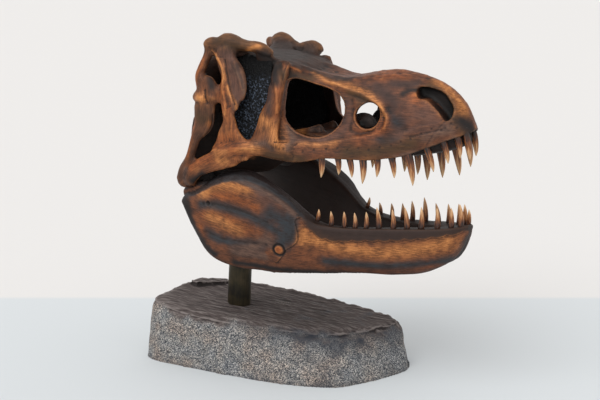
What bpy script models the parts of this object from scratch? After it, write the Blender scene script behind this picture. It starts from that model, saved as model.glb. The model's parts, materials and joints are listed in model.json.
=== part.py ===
"""Mounted replica of a tyrannosaur skull, jaws open, on a rod set in a stone-effect base.

Metres, +Z up. The origin is on the table under the base. The snout points along +X and the
animal's left side is +Y. Rows below are in millimetres and describe the left side, which is
mirrored to make the right side.
"""
import bmesh
import bpy
from math import cos, pi, radians, sin
from mathutils import Matrix, Vector

MM = 0.001

# ---- driving dimensions, millimetres --------------------------------------------------------
GAP = 0.4                      # clear joint between two pieces that meet
JAW_CLEARANCE = 0.7            # the lower jaw is hollowed this much clear of the skull
SNOUT_CUT = 104.0              # plane through the front antorbital opening
CHEEK_CUT = 12.0               # plane through the eye socket
CENTRE_HALF = 62.0             # half width of the middle pieces behind the snout
ROOF_CUT = 448.0               # underside of the skull roof piece
CRANIUM_VOXEL = 2.6
CRANIUM_FACES = 3350
ROD_RADIUS = 16.85             # 1 inch steel pipe, 33.7 mm across, where it enters the skull
ROD_FOOT_RADIUS = 19.4         # it widens a little towards the base
ROD_FOOT = Vector((-78.0, 0.0, 40.0))
ROD_HEAD = Vector((-60.0, 0.0, 372.0))
BASE_TOP_MID = 80.0            # height of the base's top at x = 0
BASE_TOP_SLOPE = -0.11         # it falls towards the front

# snout: x, margin y z, lip y z, side y z, ridge y z, roof edge y z, roof middle z
SNOUT = [
    (35, 106, 352, 105, 373, 92, 430, 78, 476, 61, 494, 485),
    (46, 105, 350, 104, 372, 90, 430, 76, 474, 52, 490, 482),
    (62, 99, 347, 97, 370, 82, 430, 67, 468, 41, 485, 479),
    (80, 95, 345, 93, 368, 75, 420, 61, 463, 38, 480, 474),
    (100, 89, 347, 86, 370, 69, 415, 58, 458, 37, 474, 470),
    (121, 82, 352, 78, 374, 65, 412, 56, 453, 35, 469, 468),
    (148, 75, 352, 70, 374, 61, 410, 54, 448, 36, 467, 472),
    (178, 68, 352, 65, 374, 57, 410, 50, 442, 30, 468, 478),
    (212, 60, 355, 58, 377, 53, 405, 44, 440, 27, 469, 481),
    (248, 51, 363, 50, 385, 45, 410, 36, 440, 22, 465, 476),
    (281, 41, 376, 41, 396, 37, 414, 29, 436, 17, 455, 465),
    (305, 32, 386, 32, 404, 28, 415, 21, 430, 12, 443, 449),
    (320, 23, 391, 23, 403, 19, 411, 13, 420, 7, 427, 430),
    (330, 12, 394, 12, 400, 10, 403, 7, 406, 4, 408, 409),
    (333, 6, 395, 6, 398, 5, 400, 4, 401, 2, 402, 402),
]
SNOUT_WALL = 9.0
CAVITY_FRONT = 214.0
ANTORBITAL = [(58, 458), (60, 464), (71, 465), (89, 461), (115, 454), (129, 449), (139, 443),
              (146, 433), (148, 420), (146, 411), (142, 401), (134, 391), (125, 385), (113, 382),
              (96, 384), (81, 389), (70, 397), (62, 407), (60, 420), (59, 440)]
MAXILLARY = (184, 415.5, 19.0)   # x, z, radius
NOSTRIL = [(252, 458), (270, 457), (287, 452), (298, 441), (305, 430), (305, 418), (298, 412),
           (290, 421), (279, 432), (266, 442), (254, 444)]
NOSTRIL_FLOOR = 10.0           # how far from the middle the nostrils end

# bars of the face: x, y, z, width, thickness along the bar
JUGAL = [(76, 93, 361, 30, 12), (56, 100, 362, 28, 13), (34, 106, 364, 24, 14),
         (10, 111, 362, 30, 14), (-14, 113, 356, 46, 14), (-34, 115, 344, 36, 14),
         (-52, 115, 336, 30, 14), (-74, 115, 326, 26, 15), (-88, 113, 314, 26, 16),
         (-90, 112, 304, 20, 16)]
JUGAL_RISE = [(-16, 113, 346, 66, 13), (-16, 112, 368, 58, 12), (-18, 112, 384, 40, 12),
              (-18, 111, 400, 24, 11), (-20, 109, 420, 14, 10)]
LACRIMAL = [(40, 104, 372, 50, 14), (42, 99, 392, 38, 13), (44, 95, 411, 34, 13),
            (48, 90, 432, 25, 14), (48, 82, 452, 25, 14), (47, 74, 470, 26, 14),
            (45, 62, 487, 30, 12)]
LACRIMAL_HORN = [(24, 62, 480, 30, 18), (20, 68, 493, 28, 18), (16, 74, 503, 20, 14)]
BROW_RIGHT = [(30, 72, 504, 12, 14), (20, 76, 510, 15, 18), (8, 79, 512, 17, 20),
              (-6, 81, 513, 17, 22), (-20, 82, 515, 22, 24), (-38, 82, 517, 29, 30),
              (-52, 86, 514, 22, 24), (-62, 89, 515, 20, 18), (-70, 91, 512, 18, 14)]
BROW_LEFT = [(32, 73, 499, 20, 16), (20, 77, 503, 22, 18), (8, 79, 502, 20, 20),
             (-8, 80, 500, 18, 20), (-22, 81, 503, 22, 24), (-40, 81, 512, 27, 30),
             (-53, 85, 509, 22, 22), (-62, 88, 508, 18, 16), (-70, 91, 509, 16, 14)]
POSTORBITAL = [(-38, 88, 508, 30, 22), (-32, 93, 488, 34, 16), (-19, 98, 468, 42, 13),
               (-15, 102, 448, 44, 12), (-15, 106, 430, 34, 11), (-10, 109, 419, 16, 8)]
POSTORBITAL_RIM = [(-56, 85, 507, 13, 14), (-45, 92, 494, 13, 14), (-33, 97, 479, 13, 14),
                   (-31, 99, 464, 14, 14), (-31, 104, 440, 15, 14), (-25, 109, 419, 14, 12),
                   (-20, 111, 398, 14, 12)]
SQUAMOSAL = [(-66, 89, 511, 18, 14), (-68, 92, 498, 14, 13), (-73, 97, 482, 14, 13),
             (-77, 101, 466, 16, 14), (-66, 104, 452, 38, 16), (-62, 107, 440, 50, 19),
             (-62, 108, 430, 48, 19)]
QUADRATOJUGAL = [(-63, 110, 424, 38, 16), (-62, 112, 408, 37, 13), (-64, 113, 394, 34, 12),
                 (-76, 114, 376, 18, 12), (-83, 115, 358, 14, 13), (-89, 115, 340, 16, 15),
                 (-98, 113, 322, 22, 18), (-104, 112, 307, 22, 20)]
CONDYLE = [(-102, 113, 305, 22, 22), (-98, 100, 302, 20, 20), (-95, 88, 303, 18, 18)]
EYE_WALL = [(-2, 92, 368, 82, 10), (-1, 89, 398, 84, 10), (-1, 87, 430, 84, 11),
            (-1, 82, 460, 82, 11), (1, 76, 482, 72, 12), (2, 70, 494, 62, 12)]

# middle of the skull behind the snout
ROOF = [(76, 0, 467, 104, 14), (56, 0, 479, 132, 18), (34, 0, 484, 146, 20), (8, 0, 489, 140, 20),
        (-16, 0, 491, 132, 22), (-38, 0, 490, 84, 26), (-62, 0, 488, 54, 30),
        (-88, 0, 488, 60, 32)]
ROOF_BRIDGE = [(-22, 30, 492, 44, 20), (-28, 60, 500, 40, 20), (-38, 84, 508, 30, 22)]
NAPE = [(-84, 0, 446, 104, 16), (-84, 34, 446, 106, 14), (-80, 62, 444, 100, 13),
        (-73, 84, 434, 82, 13), (-72, 99, 430, 60, 13)]
BRAINCASE = [(-16, 0, 470, 44, 50), (-38, 0, 458, 66, 70), (-60, 0, 440, 72, 100),
             (-80, 0, 430, 70, 110), (-96, 0, 424, 46, 60)]
OCCIPITAL_KNOB = [(-88, 0, 414, 26, 26), (-108, 0, 410, 24, 24)]
BRAINCASE_FOOT = [(-64, 0, 420, 64, 62), (-64, 0, 390, 58, 56), (-62, 0, 366, 52, 50),
                  (-60, 0, 350, 44, 44)]
QUADRATE_WING = [(-86, 107, 350, 112, 12), (-82, 88, 350, 116, 10), (-74, 66, 354, 106, 10),
                 (-62, 44, 352, 100, 10), (-56, 20, 362, 76, 12)]
PTERYGOID = [(-92, 88, 326, 30, 12), (-66, 66, 338, 44, 12), (-34, 46, 343, 58, 13),
             (-4, 36, 346, 62, 14), (28, 31, 358, 46, 14), (60, 26, 370, 32, 14),
             (92, 22, 378, 36, 14)]
WINDOW_BOSS = [(150, 36, 386, 22, 12), (164, 35, 396, 40, 16), (174, 34, 399, 38, 16),
               (186, 33, 393, 26, 14), (195, 32, 387, 14, 10)]
PALATE = [(60, 0, 378, 60, 10), (92, 0, 378, 92, 10), (130, 0, 378, 100, 10),
          (170, 0, 380, 90, 10), (216, 0, 384, 70, 12)]
PALATE_FRONT = [(212, 0, 370, 70, 12), (240, 0, 367, 88, 20), (265, 0, 371, 76, 20),
                (285, 0, 374, 62, 20), (304, 0, 380, 46, 20), (318, 0, 385, 30, 18)]

# teeth: x of the root, how far the tip lies in front of it, and length
UPPER_RIGHT = [(120, 0, 29), (144, 2, 24), (161, 5, 27), (181, 0, 36), (202, 0, 27), (222, 6, 30),
               (246, 9, 45), (271, 13, 33), (294, 9, 30), (312, 6, 29), (322, 8, 35)]
UPPER_LEFT = [(127, 2, 35), (166, 4, 31), (189, 3, 35), (214, 3, 39), (230, 5, 49), (256, 7, 49),
              (282, 12, 52), (306, 9, 46), (321, 6, 33)]
LOWER_RIGHT = [(113, 3, 16), (135, -1, 20), (154, 0, 23), (170, -1, 22), (186, 0, 24), (205, -4, 31),
               (226, -2, 28), (246, -4, 31), (266, 0, 32), (288, -1, 30), (306, 0, 29),
               (318, -2, 32)]
LOWER_LEFT = [(120, 5, 16), (147, -2, 17), (170, -1, 21), (191, 0, 25), (210, -1, 30), (234, -2, 37),
              (259, -5, 29), (278, -1, 29), (298, -1, 30), (309, 0, 30), (318, 1, 23)]
UPPER_GIRTH = (6.4, 0.155)     # width of a tooth at no length, and what each millimetre adds
LOWER_GIRTH = (5.0, 0.13)
TOOTH_FLATNESS = 0.78          # thickness of a tooth over its width
TOOTH_SIDES = 6

# lower jaw: x, top edge y z, crest y z, widest y z, bottom y z, inner y, and how much higher the
# right edge lies
JAW = [
    (-106, 106, 277, 111, 278, 115, 273, 110, 268, 104, 0),
    (-98, 98, 286, 112, 284, 118, 270, 112, 253, 94, 0),
    (-86, 93, 296, 115, 283, 118, 256, 109, 227, 88, 0),
    (-64, 91, 307, 118, 291, 119, 244, 108, 196, 84, 0),
    (-42, 90, 319, 118, 303, 120, 244, 102, 181, 82, 0),
    (-14, 89, 325, 118, 312, 120, 250, 96, 175, 80, 0),
    (14, 88, 322, 116, 315, 118, 262, 92, 174, 78, 0),
    (47, 86, 306, 112, 306, 114, 252, 88, 173, 76, 0),
    (76, 85, 287, 106, 288, 106, 238, 84, 174, 74, 0),
    (98, 83, 269, 98, 265, 97, 228, 78, 175, 70, 0),
    (118, 79, 254, 89, 249, 89, 221, 72, 176, 64, 1),
    (150, 73, 246, 78, 241, 79, 215, 62, 178, 56, 4),
    (190, 61, 244, 66, 239, 68, 211, 52, 180, 42, 6),
    (230, 52, 246, 57, 241, 58, 212, 42, 181, 28, 6),
    (270, 42, 250, 47, 245, 48, 215, 32, 187, 12, 4),
    (299, 31, 253, 36, 248, 36, 223, 19, 201, -4, 3),
    (314, 22, 255, 27, 251, 26, 232, 11, 216, -12, 3),
    (323, 13, 257, 17, 253, 16, 243, 6, 235, -12, 2),
    (328, 5, 258, 7, 255, 6, 251, 3, 247, -12, 2),
]
ARTICULAR = [(-104, 100, 284, 20, 16), (-88, 100, 289, 22, 18), (-70, 98, 296, 20, 20)]

# base: outline on the table, and the rim of the top face
FLOOR_OUTLINE = [(-206, -78), (-176, -100), (-117, -104), (-33, -106), (52, -102), (112, -89),
                 (150, -69), (179, -19), (202, 50), (190, 96), (152, 132), (97, 140), (12, 139),
                 (-59, 127), (-112, 118), (-160, 94), (-198, 44), (-208, -20)]
RIM_OUTLINE = [(-197, -70), (-168, -93), (-114, -98), (-50, -89), (18, -63), (70, -40),
               (104, -16), (132, 22), (156, 66), (164, 106), (146, 126), (96, 134), (12, 133),
               (-59, 121), (-110, 112), (-158, 90), (-191, 30), (-202, -20)]
SHELF = [(-189, 20), (-172, 57), (-153, 84), (-141, 75), (-152, 50), (-172, 16)]
SHELF_RISE = 7.0

COPPER = (0.30, 0.105, 0.035, 1.0)
DARK_COPPER = (0.16, 0.065, 0.03, 1.0)
ROD_METAL = (0.05, 0.042, 0.03, 1.0)
STONE = (0.22, 0.20, 0.20, 1.0)


# ---- scene ----------------------------------------------------------------------------------
for old in list(bpy.data.objects):
    bpy.data.objects.remove(old, do_unlink=True)


def collection(name):
    group = bpy.data.collections.new(name)
    bpy.context.scene.collection.children.link(group)
    return group


PARTS = collection("dinosaur_skull")
GUIDES = collection("cutters")


def material(name, color, roughness, metallic):
    mat = bpy.data.materials.new(name)
    mat.use_nodes = True
    shader = mat.node_tree.nodes["Principled BSDF"]
    shader.inputs["Base Color"].default_value = color
    shader.inputs["Roughness"].default_value = roughness
    shader.inputs["Metallic"].default_value = metallic
    return mat


# ---- smooth rows and skins ------------------------------------------------------------------
def curve_point(a, b, c, d, t):
    """One point of a Catmull-Rom curve between b and c."""
    return tuple(
        0.5 * (2 * q + (r - p) * t + (2 * p - 5 * q + 4 * r - s) * t * t
               + (3 * q - p - 3 * r + s) * t * t * t)
        for p, q, r, s in zip(a, b, c, d)
    )


def smooth_rows(rows, steps, closed=False):
    """The rows with steps - 1 more rows in each stretch, along a smooth curve."""
    count = len(rows)
    fine = []
    for i in range(count if closed else count - 1):
        if closed:
            a, b, c, d = (rows[(i + k) % count] for k in (-1, 0, 1, 2))
        else:
            a, b, c, d = (rows[min(max(i + k, 0), count - 1)] for k in (-1, 0, 1, 2))
        fine.extend(curve_point(a, b, c, d, k / steps) for k in range(steps))
    if not closed:
        fine.append(tuple(float(v) for v in rows[-1]))
    return fine


def new_object(name, verts, faces, group):
    mesh = bpy.data.meshes.new(name)
    mesh.from_pydata([Vector(v) * MM for v in verts], [], faces)
    mesh.update()
    obj = bpy.data.objects.new(name, mesh)
    group.objects.link(obj)
    return obj


def skin(name, rings):
    """A closed body through rings of equal length, with flat ends."""
    count = len(rings[0])
    verts = [point for ring in rings for point in ring]
    faces = []
    for i in range(len(rings) - 1):
        for j in range(count):
            k = (j + 1) % count
            low = i * count
            high = low + count
            faces.append((low + j, low + k, high + k, high + j))
    faces.append(tuple(reversed(range(count))))
    faces.append(tuple(range(len(verts) - count, len(verts))))
    return outward(new_object(name, verts, faces, GUIDES))


def outward(obj):
    """Turn the faces of a closed body outwards."""
    work = bmesh.new()
    work.from_mesh(obj.data)
    bmesh.ops.recalc_face_normals(work, faces=work.faces)
    work.to_mesh(obj.data)
    work.free()
    return obj


def bar(name, rows, out=(0, 1, 0), steps=4, sides=14, power=1.0):
    """A bar with an oval section: width lies in the face, thickness lies along out."""
    fine = smooth_rows(rows, steps)
    rings = []
    for i, (x, y, z, wide, thick) in enumerate(fine):
        ahead = Vector(fine[min(i + 1, len(fine) - 1)][:3])
        behind = Vector(fine[max(i - 1, 0)][:3])
        along = (ahead - behind).normalized()
        normal = Vector(out)
        normal = (normal - along * normal.dot(along)).normalized()
        across = along.cross(normal)
        rings.append((Vector((x, y, z)), along, across * wide / 2, normal * thick / 2))
    start, end = rings[0], rings[-1]
    round_start = (start[0] - start[1] * start[3].length * 0.7, start[1], start[2] * 0.6,
                   start[3] * 0.6)
    round_end = (end[0] + end[1] * end[3].length * 0.7, end[1], end[2] * 0.6, end[3] * 0.6)
    sections = []
    for centre, _, across, normal in [round_start] + rings + [round_end]:
        section = []
        for k in range(sides):
            turn = 2 * pi * k / sides
            u = abs(cos(turn)) ** power * (1 if cos(turn) >= 0 else -1)
            v = abs(sin(turn)) ** power * (1 if sin(turn) >= 0 else -1)
            section.append(centre + across * u + normal * v)
        sections.append(section)
    return skin(name, sections)


def across(obj):
    """Move a body to the other side of the middle plane."""
    obj.data.transform(Matrix.Scale(-1.0, 4, Vector((0, 1, 0))))
    return outward(obj)


def mirrored(obj):
    """A copy of a body on the other side of the middle plane."""
    copy = obj.copy()
    copy.data = obj.data.copy()
    GUIDES.objects.link(copy)
    return across(copy)


def joined(name, objects):
    """Several bodies as the one object that the next modifier reads."""
    verts = []
    faces = []
    for obj in objects:
        first = len(verts)
        verts.extend(v.co / MM for v in obj.data.vertices)
        faces.extend(tuple(first + i for i in p.vertices) for p in obj.data.polygons)
        bpy.data.objects.remove(obj, do_unlink=True)
    return new_object(name, verts, faces, GUIDES)


def settled(obj):
    """Replace an object's mesh by what its modifiers make of it."""
    graph = bpy.context.evaluated_depsgraph_get()
    mesh = bpy.data.meshes.new_from_object(obj.evaluated_get(graph))
    obj.modifiers.clear()
    obj.data = mesh
    return obj


def boolean(obj, other, operation):
    cut = obj.modifiers.new(operation.lower(), "BOOLEAN")
    cut.object = other
    cut.operation = operation
    cut.solver = "EXACT"
    settled(obj)
    bpy.data.objects.remove(other, do_unlink=True)
    return obj


def fused(obj, voxel, smooth, faces):
    """Overlapping bodies as one even skin, then with fewer faces."""
    remesh = obj.modifiers.new("fuse", "REMESH")
    remesh.mode = "VOXEL"
    remesh.voxel_size = voxel * MM
    settle = obj.modifiers.new("settle", "SMOOTH")
    settle.factor = 0.5
    settle.iterations = smooth
    settled(obj)
    triangles = sum(len(p.vertices) - 2 for p in obj.data.polygons)
    fewer = obj.modifiers.new("fewer", "DECIMATE")
    fewer.ratio = faces / triangles
    fewer.use_collapse_triangulate = True
    return settled(obj)


def block(name, low, high):
    bpy.ops.mesh.primitive_cube_add(size=1.0)
    obj = bpy.context.object
    obj.name = name
    size = Vector(high) - Vector(low)
    centre = (Vector(high) + Vector(low)) / 2
    obj.data.transform(Matrix.Translation(centre * MM) @ Matrix.Diagonal((*(size * MM), 1.0)))
    return obj


# ---- snout ----------------------------------------------------------------------------------
def whole_section(x, half):
    """A closed section from its left half, listed from the middle below to the middle above."""
    right = [(x, -y, z) for y, z in reversed(half[1:-1])]
    return [(x, y, z) for y, z in half] + right


def snout_outside():
    rings = []
    for x, my, mz, ly, lz, sy, sz, ry, rz, ey, ez, top in smooth_rows(SNOUT, 3):
        vault = min(18.0, my * 0.5)
        half = [(0, mz + vault * 0.8), (my * 0.55, mz + vault * 0.6), (my * 0.86, mz + 2), (my, mz),
                (ly, lz), ((ly + sy) / 2 - 1, (lz + sz) / 2), (sy, sz), (ry, rz), (ey, ez),
                (ey * 0.5, (ez + top * 2) / 3), (0, top)]
        rings.append(whole_section(x, half))
    return skin("snout_outside", rings)


def snout_hollow():
    wall = SNOUT_WALL
    rows = [row for row in smooth_rows(SNOUT, 3) if row[0] <= CAVITY_FRONT]
    rings = []
    for x, my, mz, ly, lz, sy, sz, ry, rz, ey, ez, top in rows:
        half = [(0, mz + 20), (ly - wall * 1.6, mz + 20), (ly - wall * 1.2, lz + 8),
                (sy - wall, sz), (ry - wall, rz - 6), (ey - wall, ez - wall * 1.5),
                (0, top - wall * 1.5)]
        rings.append(whole_section(x - 4, half))
    return skin("snout_hollow", rings)


def plate_cutter(name, outline, low, high):
    """A straight cutter with an outline on the side of the snout, from y = low to high."""
    fine = smooth_rows(outline, 2, closed=True)
    rings = [[(x, y, z) for x, z in fine] for y in (low, high)]
    return skin(name, rings)


def snout():
    body = snout_outside()
    boolean(body, snout_hollow(), "DIFFERENCE")
    boolean(body, plate_cutter("antorbital", ANTORBITAL, -130, 130), "DIFFERENCE")
    x, z, radius = MAXILLARY
    circle = [(x + radius * cos(2 * pi * k / 12), z + radius * sin(2 * pi * k / 12))
              for k in range(12)]
    boolean(body, plate_cutter("maxillary", circle, -100, 100), "DIFFERENCE")
    for low, high in ((NOSTRIL_FLOOR, 60), (-60, -NOSTRIL_FLOOR)):
        boolean(body, plate_cutter("nostril", NOSTRIL, low, high), "DIFFERENCE")
    return body


# ---- teeth ----------------------------------------------------------------------------------
def row_at(rows, x):
    """The row of a table at x, between its two nearest rows."""
    for a, b in zip(rows, rows[1:]):
        if a[0] <= x <= b[0]:
            t = (x - a[0]) / (b[0] - a[0])
            return [p + (q - p) * t for p, q in zip(a, b)]
    return list(rows[-1])


def tooth(name, root, tip, wide, swell):
    """A curved cone from inside the jaw to its tip; swell bends it forward at the middle."""
    root = Vector(root)
    tip = Vector(tip)
    along = tip - root
    sections = []
    for t, size in ((-0.25, 0.95), (0.15, 1.0), (0.68, 0.62), (1.0, 0.08)):
        centre = root + along * t + Vector((swell * 4 * t * (1 - t) if t > 0 else 0, 0, 0))
        ring = []
        for k in range(TOOTH_SIDES):
            turn = 2 * pi * k / TOOTH_SIDES
            ring.append(centre + Vector((cos(turn), sin(turn) * TOOTH_FLATNESS, 0)) * wide / 2 * size)
        sections.append(ring)
    return skin(name, sections)


def upper_teeth():
    teeth = []
    for side, table in ((-1, UPPER_RIGHT), (1, UPPER_LEFT)):
        for x, lean, length in table:
            row = row_at(SNOUT, x)
            y = max(row[1] - 6.0, 4.0)
            root = (x, side * y, row[2] + 3)
            tip = (x + lean, side * y, row[2] - length)
            wide = UPPER_GIRTH[0] + UPPER_GIRTH[1] * length
            teeth.append(tooth("upper_tooth", root, tip, wide, 1.5))
    return teeth


def lower_teeth(side):
    teeth = []
    for x, lean, length in LOWER_LEFT if side > 0 else LOWER_RIGHT:
        row = row_at(JAW, x)
        y = max(row[1] - 4.5, 5.0)
        margin = row[2] + (row[10] if side < 0 else 0.0)
        root = (x, side * y, margin - 2)
        tip = (x + lean, side * y, margin + length)
        wide = LOWER_GIRTH[0] + LOWER_GIRTH[1] * length
        teeth.append(tooth("lower_tooth", root, tip, wide, 1.2))
    return teeth


# ---- cranium --------------------------------------------------------------------------------
def cranium():
    sided = [
        bar("jugal", JUGAL), bar("jugal_rise", JUGAL_RISE), bar("lacrimal", LACRIMAL, power=0.7),
        bar("horn", LACRIMAL_HORN, power=0.7),
        bar("postorbital", POSTORBITAL, power=0.8), bar("rim", POSTORBITAL_RIM),
        bar("squamosal", SQUAMOSAL), bar("quadratojugal", QUADRATOJUGAL),
        bar("condyle", CONDYLE, out=(0, 0, 1)), bar("eye_wall", EYE_WALL, power=0.6),
        bar("bridge", ROOF_BRIDGE, out=(0, 0, 1)), bar("quadrate", QUADRATE_WING, out=(1, 0, 0)),
        bar("pterygoid", PTERYGOID), bar("window_boss", WINDOW_BOSS),
    ]
    middle = [
        snout(), bar("roof", ROOF, out=(0, 0, 1), power=0.6),
        bar("braincase", BRAINCASE, out=(0, 0, 1), power=0.8),
        bar("knob", OCCIPITAL_KNOB, out=(0, 0, 1)), bar("foot", BRAINCASE_FOOT, out=(1, 0, 0)),
        bar("palate", PALATE, out=(0, 0, 1), power=0.6),
        bar("palate_front", PALATE_FRONT, out=(0, 0, 1), power=0.7), bar("brow_left", BROW_LEFT),
        across(bar("brow_right", BROW_RIGHT)),
    ]
    nape = bar("nape", NAPE, out=(1, 0, 0), power=0.7)
    sided.append(nape)
    both = sided + [mirrored(obj) for obj in sided]
    body = fused(joined("cranium", middle + both), CRANIUM_VOXEL, 3, CRANIUM_FACES)
    boolean(body, joined("teeth", upper_teeth()), "UNION")
    boolean(body, rod_body("socket", GAP), "DIFFERENCE")
    return body


def rod_body(name, clear):
    """The rod, or the hole for it that is a clear gap larger all round."""
    along = ROD_HEAD - ROD_FOOT
    bpy.ops.mesh.primitive_cone_add(vertices=24, radius1=(ROD_FOOT_RADIUS + clear) * MM,
                                    radius2=(ROD_RADIUS + clear) * MM,
                                    depth=(along.length + 2 * clear) * MM)
    obj = bpy.context.object
    obj.name = name
    turn = along.to_track_quat("Z", "Y").to_matrix().to_4x4()
    obj.data.transform(Matrix.Translation((ROD_HEAD + ROD_FOOT) / 2 * MM) @ turn)
    return obj


def cell(body, name, low, high, mat):
    """One named piece of the cranium: what lies inside a box."""
    piece = body.copy()
    piece.data = body.data.copy()
    GUIDES.objects.link(piece)
    boolean(piece, block("cell", low, high), "INTERSECT")
    return part(piece, name, mat)


def part(obj, name, mat):
    """Move a finished body among the parts under its own name."""
    for group in list(obj.users_collection):
        group.objects.unlink(obj)
    PARTS.objects.link(obj)
    obj.name = name
    obj.data.name = name
    obj.data.materials.clear()
    obj.data.materials.append(mat)
    obj.data.set_sharp_from_angle(angle=radians(40))
    return obj


# ---- lower jaw ------------------------------------------------------------------------------
def jaw_half(side, clearance):
    rings = []
    for x, ty, tz, cy, cz, wy, wz, by, bz, iy, lift in JAW:
        inner = max(iy, 0.0)
        if side < 0:
            tz += lift
            cz += lift
        high = tz - bz
        ring = [(inner, tz - 0.07 * high), ((inner + ty) / 2, tz - 0.01 * high), (ty, tz),
                (cy, cz), (wy, wz), (wy * 0.75 + by * 0.25, wz * 0.45 + bz * 0.55), (by, bz),
                ((by + inner) / 2, bz + 0.02 * high), (inner, bz + 0.1 * high),
                (inner, bz + 0.5 * high)]
        rings.append([(x, side * max(y, GAP / 2), z) for y, z in ring])
    body = skin("jaw", rings)
    hinge = bar("articular", ARTICULAR, steps=2, sides=8)
    if side < 0:
        across(hinge)
    boolean(body, hinge, "UNION")
    boolean(body, joined("teeth", lower_teeth(side)), "UNION")
    shell = clearance.copy()
    GUIDES.objects.link(shell)
    boolean(body, shell, "DIFFERENCE")
    return body


# ---- base -----------------------------------------------------------------------------------
def top_height(x):
    return BASE_TOP_MID + BASE_TOP_SLOPE * x


def stone():
    floor_ring = smooth_rows(FLOOR_OUTLINE, 2, closed=True)
    rim_ring = smooth_rows(RIM_OUTLINE, 2, closed=True)
    low = [(x, y, 0.0) for x, y in floor_ring]
    belly = [(a[0] * 0.62 + b[0] * 0.38 + 2 * sin(i * 2.1), a[1] * 0.62 + b[1] * 0.38, 44 + 4 * sin(i))
             for i, (a, b) in enumerate(zip(floor_ring, rim_ring))]
    edge = [(x, y, top_height(x) - 3 + 1.5 * sin(i * 1.7)) for i, (x, y) in enumerate(rim_ring)]
    top = [(x * 0.97, y * 0.96 + 1, top_height(x) + 0.8 * sin(i * 2.3))
           for i, (x, y) in enumerate(rim_ring)]
    body = skin("stone", [low, belly, edge, top])
    shelf = skin("shelf", [[(x, y, 70) for x, y in SHELF],
                           [(x * 0.98 - 2, y * 0.96, top_height(x) + SHELF_RISE) for x, y in SHELF]])
    boolean(body, shelf, "UNION")
    boolean(body, rod_body("hole", GAP), "DIFFERENCE")
    return body


# ---- build ----------------------------------------------------------------------------------
bone = material("copper_bone", COPPER, 0.5, 0.35)
inner_bone = material("dark_copper_bone", DARK_COPPER, 0.6, 0.2)
rod_metal = material("dark_rod", ROD_METAL, 0.45, 0.8)
granite = material("granite_effect", STONE, 0.85, 0.0)

FAR = 400.0
G = GAP / 2
skull = cranium()
cell(skull, "snout", (SNOUT_CUT + G, -FAR, 0), (FAR, FAR, 600), bone)
for tag, side in (("left", 1), ("right", -1)):
    inside = side * (CENTRE_HALF + G)
    outside = side * FAR
    low_y, high_y = min(inside, outside), max(inside, outside)
    cell(skull, "cheek_" + tag, (CHEEK_CUT + G, low_y, 0), (SNOUT_CUT - G, high_y, 600), bone)
    cell(skull, "temple_" + tag, (-FAR, low_y, 0), (CHEEK_CUT - G, high_y, 600), bone)
inner = CENTRE_HALF - G
cell(skull, "skull_roof", (-FAR, -inner, ROOF_CUT + G), (SNOUT_CUT - G, inner, 600), bone)
cell(skull, "braincase_palate", (-FAR, -inner, 0), (SNOUT_CUT - G, inner, ROOF_CUT - G), inner_bone)
swell = skull.modifiers.new("clearance", "DISPLACE")
swell.strength = JAW_CLEARANCE * MM
swell.mid_level = 0.0
settled(skull)
for tag, side in (("left", 1), ("right", -1)):
    part(jaw_half(side, skull), "lower_jaw_" + tag, bone)
bpy.data.objects.remove(skull, do_unlink=True)
part(rod_body("rod", 0.0), "stand_rod", rod_metal)
part(stone(), "stand_base", granite)

for guide in list(GUIDES.objects):
    guide.hide_render = True
    guide.display_type = "WIRE"
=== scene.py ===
"""Visual model of a mounted tyrannosaur skull replica: a cast skull with open jaws, painted
dark and dry-brushed with copper, on a steel rod that stands in a granite-effect base.

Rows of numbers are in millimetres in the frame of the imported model: +X towards the snout, +Y to
the animal's left, +Z up from the table. Rows of the bones describe the left side.
"""
import bmesh
import bpy
import json
import numpy as np
from itertools import product
from math import cos, pi, radians, sin
from mathutils import Matrix, Vector
from mathutils.bvhtree import BVHTree


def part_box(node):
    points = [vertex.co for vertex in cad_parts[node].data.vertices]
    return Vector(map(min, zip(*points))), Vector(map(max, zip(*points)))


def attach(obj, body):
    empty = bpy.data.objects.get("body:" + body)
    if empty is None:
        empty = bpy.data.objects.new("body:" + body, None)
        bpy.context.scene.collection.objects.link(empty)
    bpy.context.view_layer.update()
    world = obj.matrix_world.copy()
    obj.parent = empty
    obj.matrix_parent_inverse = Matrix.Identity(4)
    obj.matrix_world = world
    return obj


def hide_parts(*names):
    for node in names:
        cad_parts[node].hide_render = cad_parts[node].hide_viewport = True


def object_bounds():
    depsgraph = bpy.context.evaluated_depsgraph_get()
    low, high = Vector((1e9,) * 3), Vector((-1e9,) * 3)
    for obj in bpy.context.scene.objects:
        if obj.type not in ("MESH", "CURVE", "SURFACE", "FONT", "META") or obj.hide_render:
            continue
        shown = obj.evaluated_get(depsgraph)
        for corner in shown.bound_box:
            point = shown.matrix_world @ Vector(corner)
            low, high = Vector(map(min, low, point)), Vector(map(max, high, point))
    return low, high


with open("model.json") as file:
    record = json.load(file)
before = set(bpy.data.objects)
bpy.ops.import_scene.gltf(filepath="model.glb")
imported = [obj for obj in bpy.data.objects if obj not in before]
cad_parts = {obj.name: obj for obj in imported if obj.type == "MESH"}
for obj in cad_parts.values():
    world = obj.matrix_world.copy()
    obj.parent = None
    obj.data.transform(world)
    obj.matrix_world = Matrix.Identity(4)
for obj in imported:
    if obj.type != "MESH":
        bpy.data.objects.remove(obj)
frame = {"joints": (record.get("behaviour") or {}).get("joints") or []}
CAD_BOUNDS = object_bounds()

bl_info = {
    "name": "Tyrannosaur Skull on a Stand",
    "version": (1, 0, 0),
    "blender": (4, 5, 0),
    "location": "View3D > Sidebar > Skull",
    "description": "A dry-brushed cast replica of a tyrannosaur skull on a rod and a stone base",
    "category": "Add Mesh",
}

MM = 0.001
ROD_LOW, ROD_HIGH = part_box("stand_rod")
ROD_RADIUS = (ROD_HIGH.y - ROD_LOW.y) / 2
BODY = frame["joints"][0]["body"] if frame["joints"] else "root"
SIDES = (1, -1)
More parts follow.
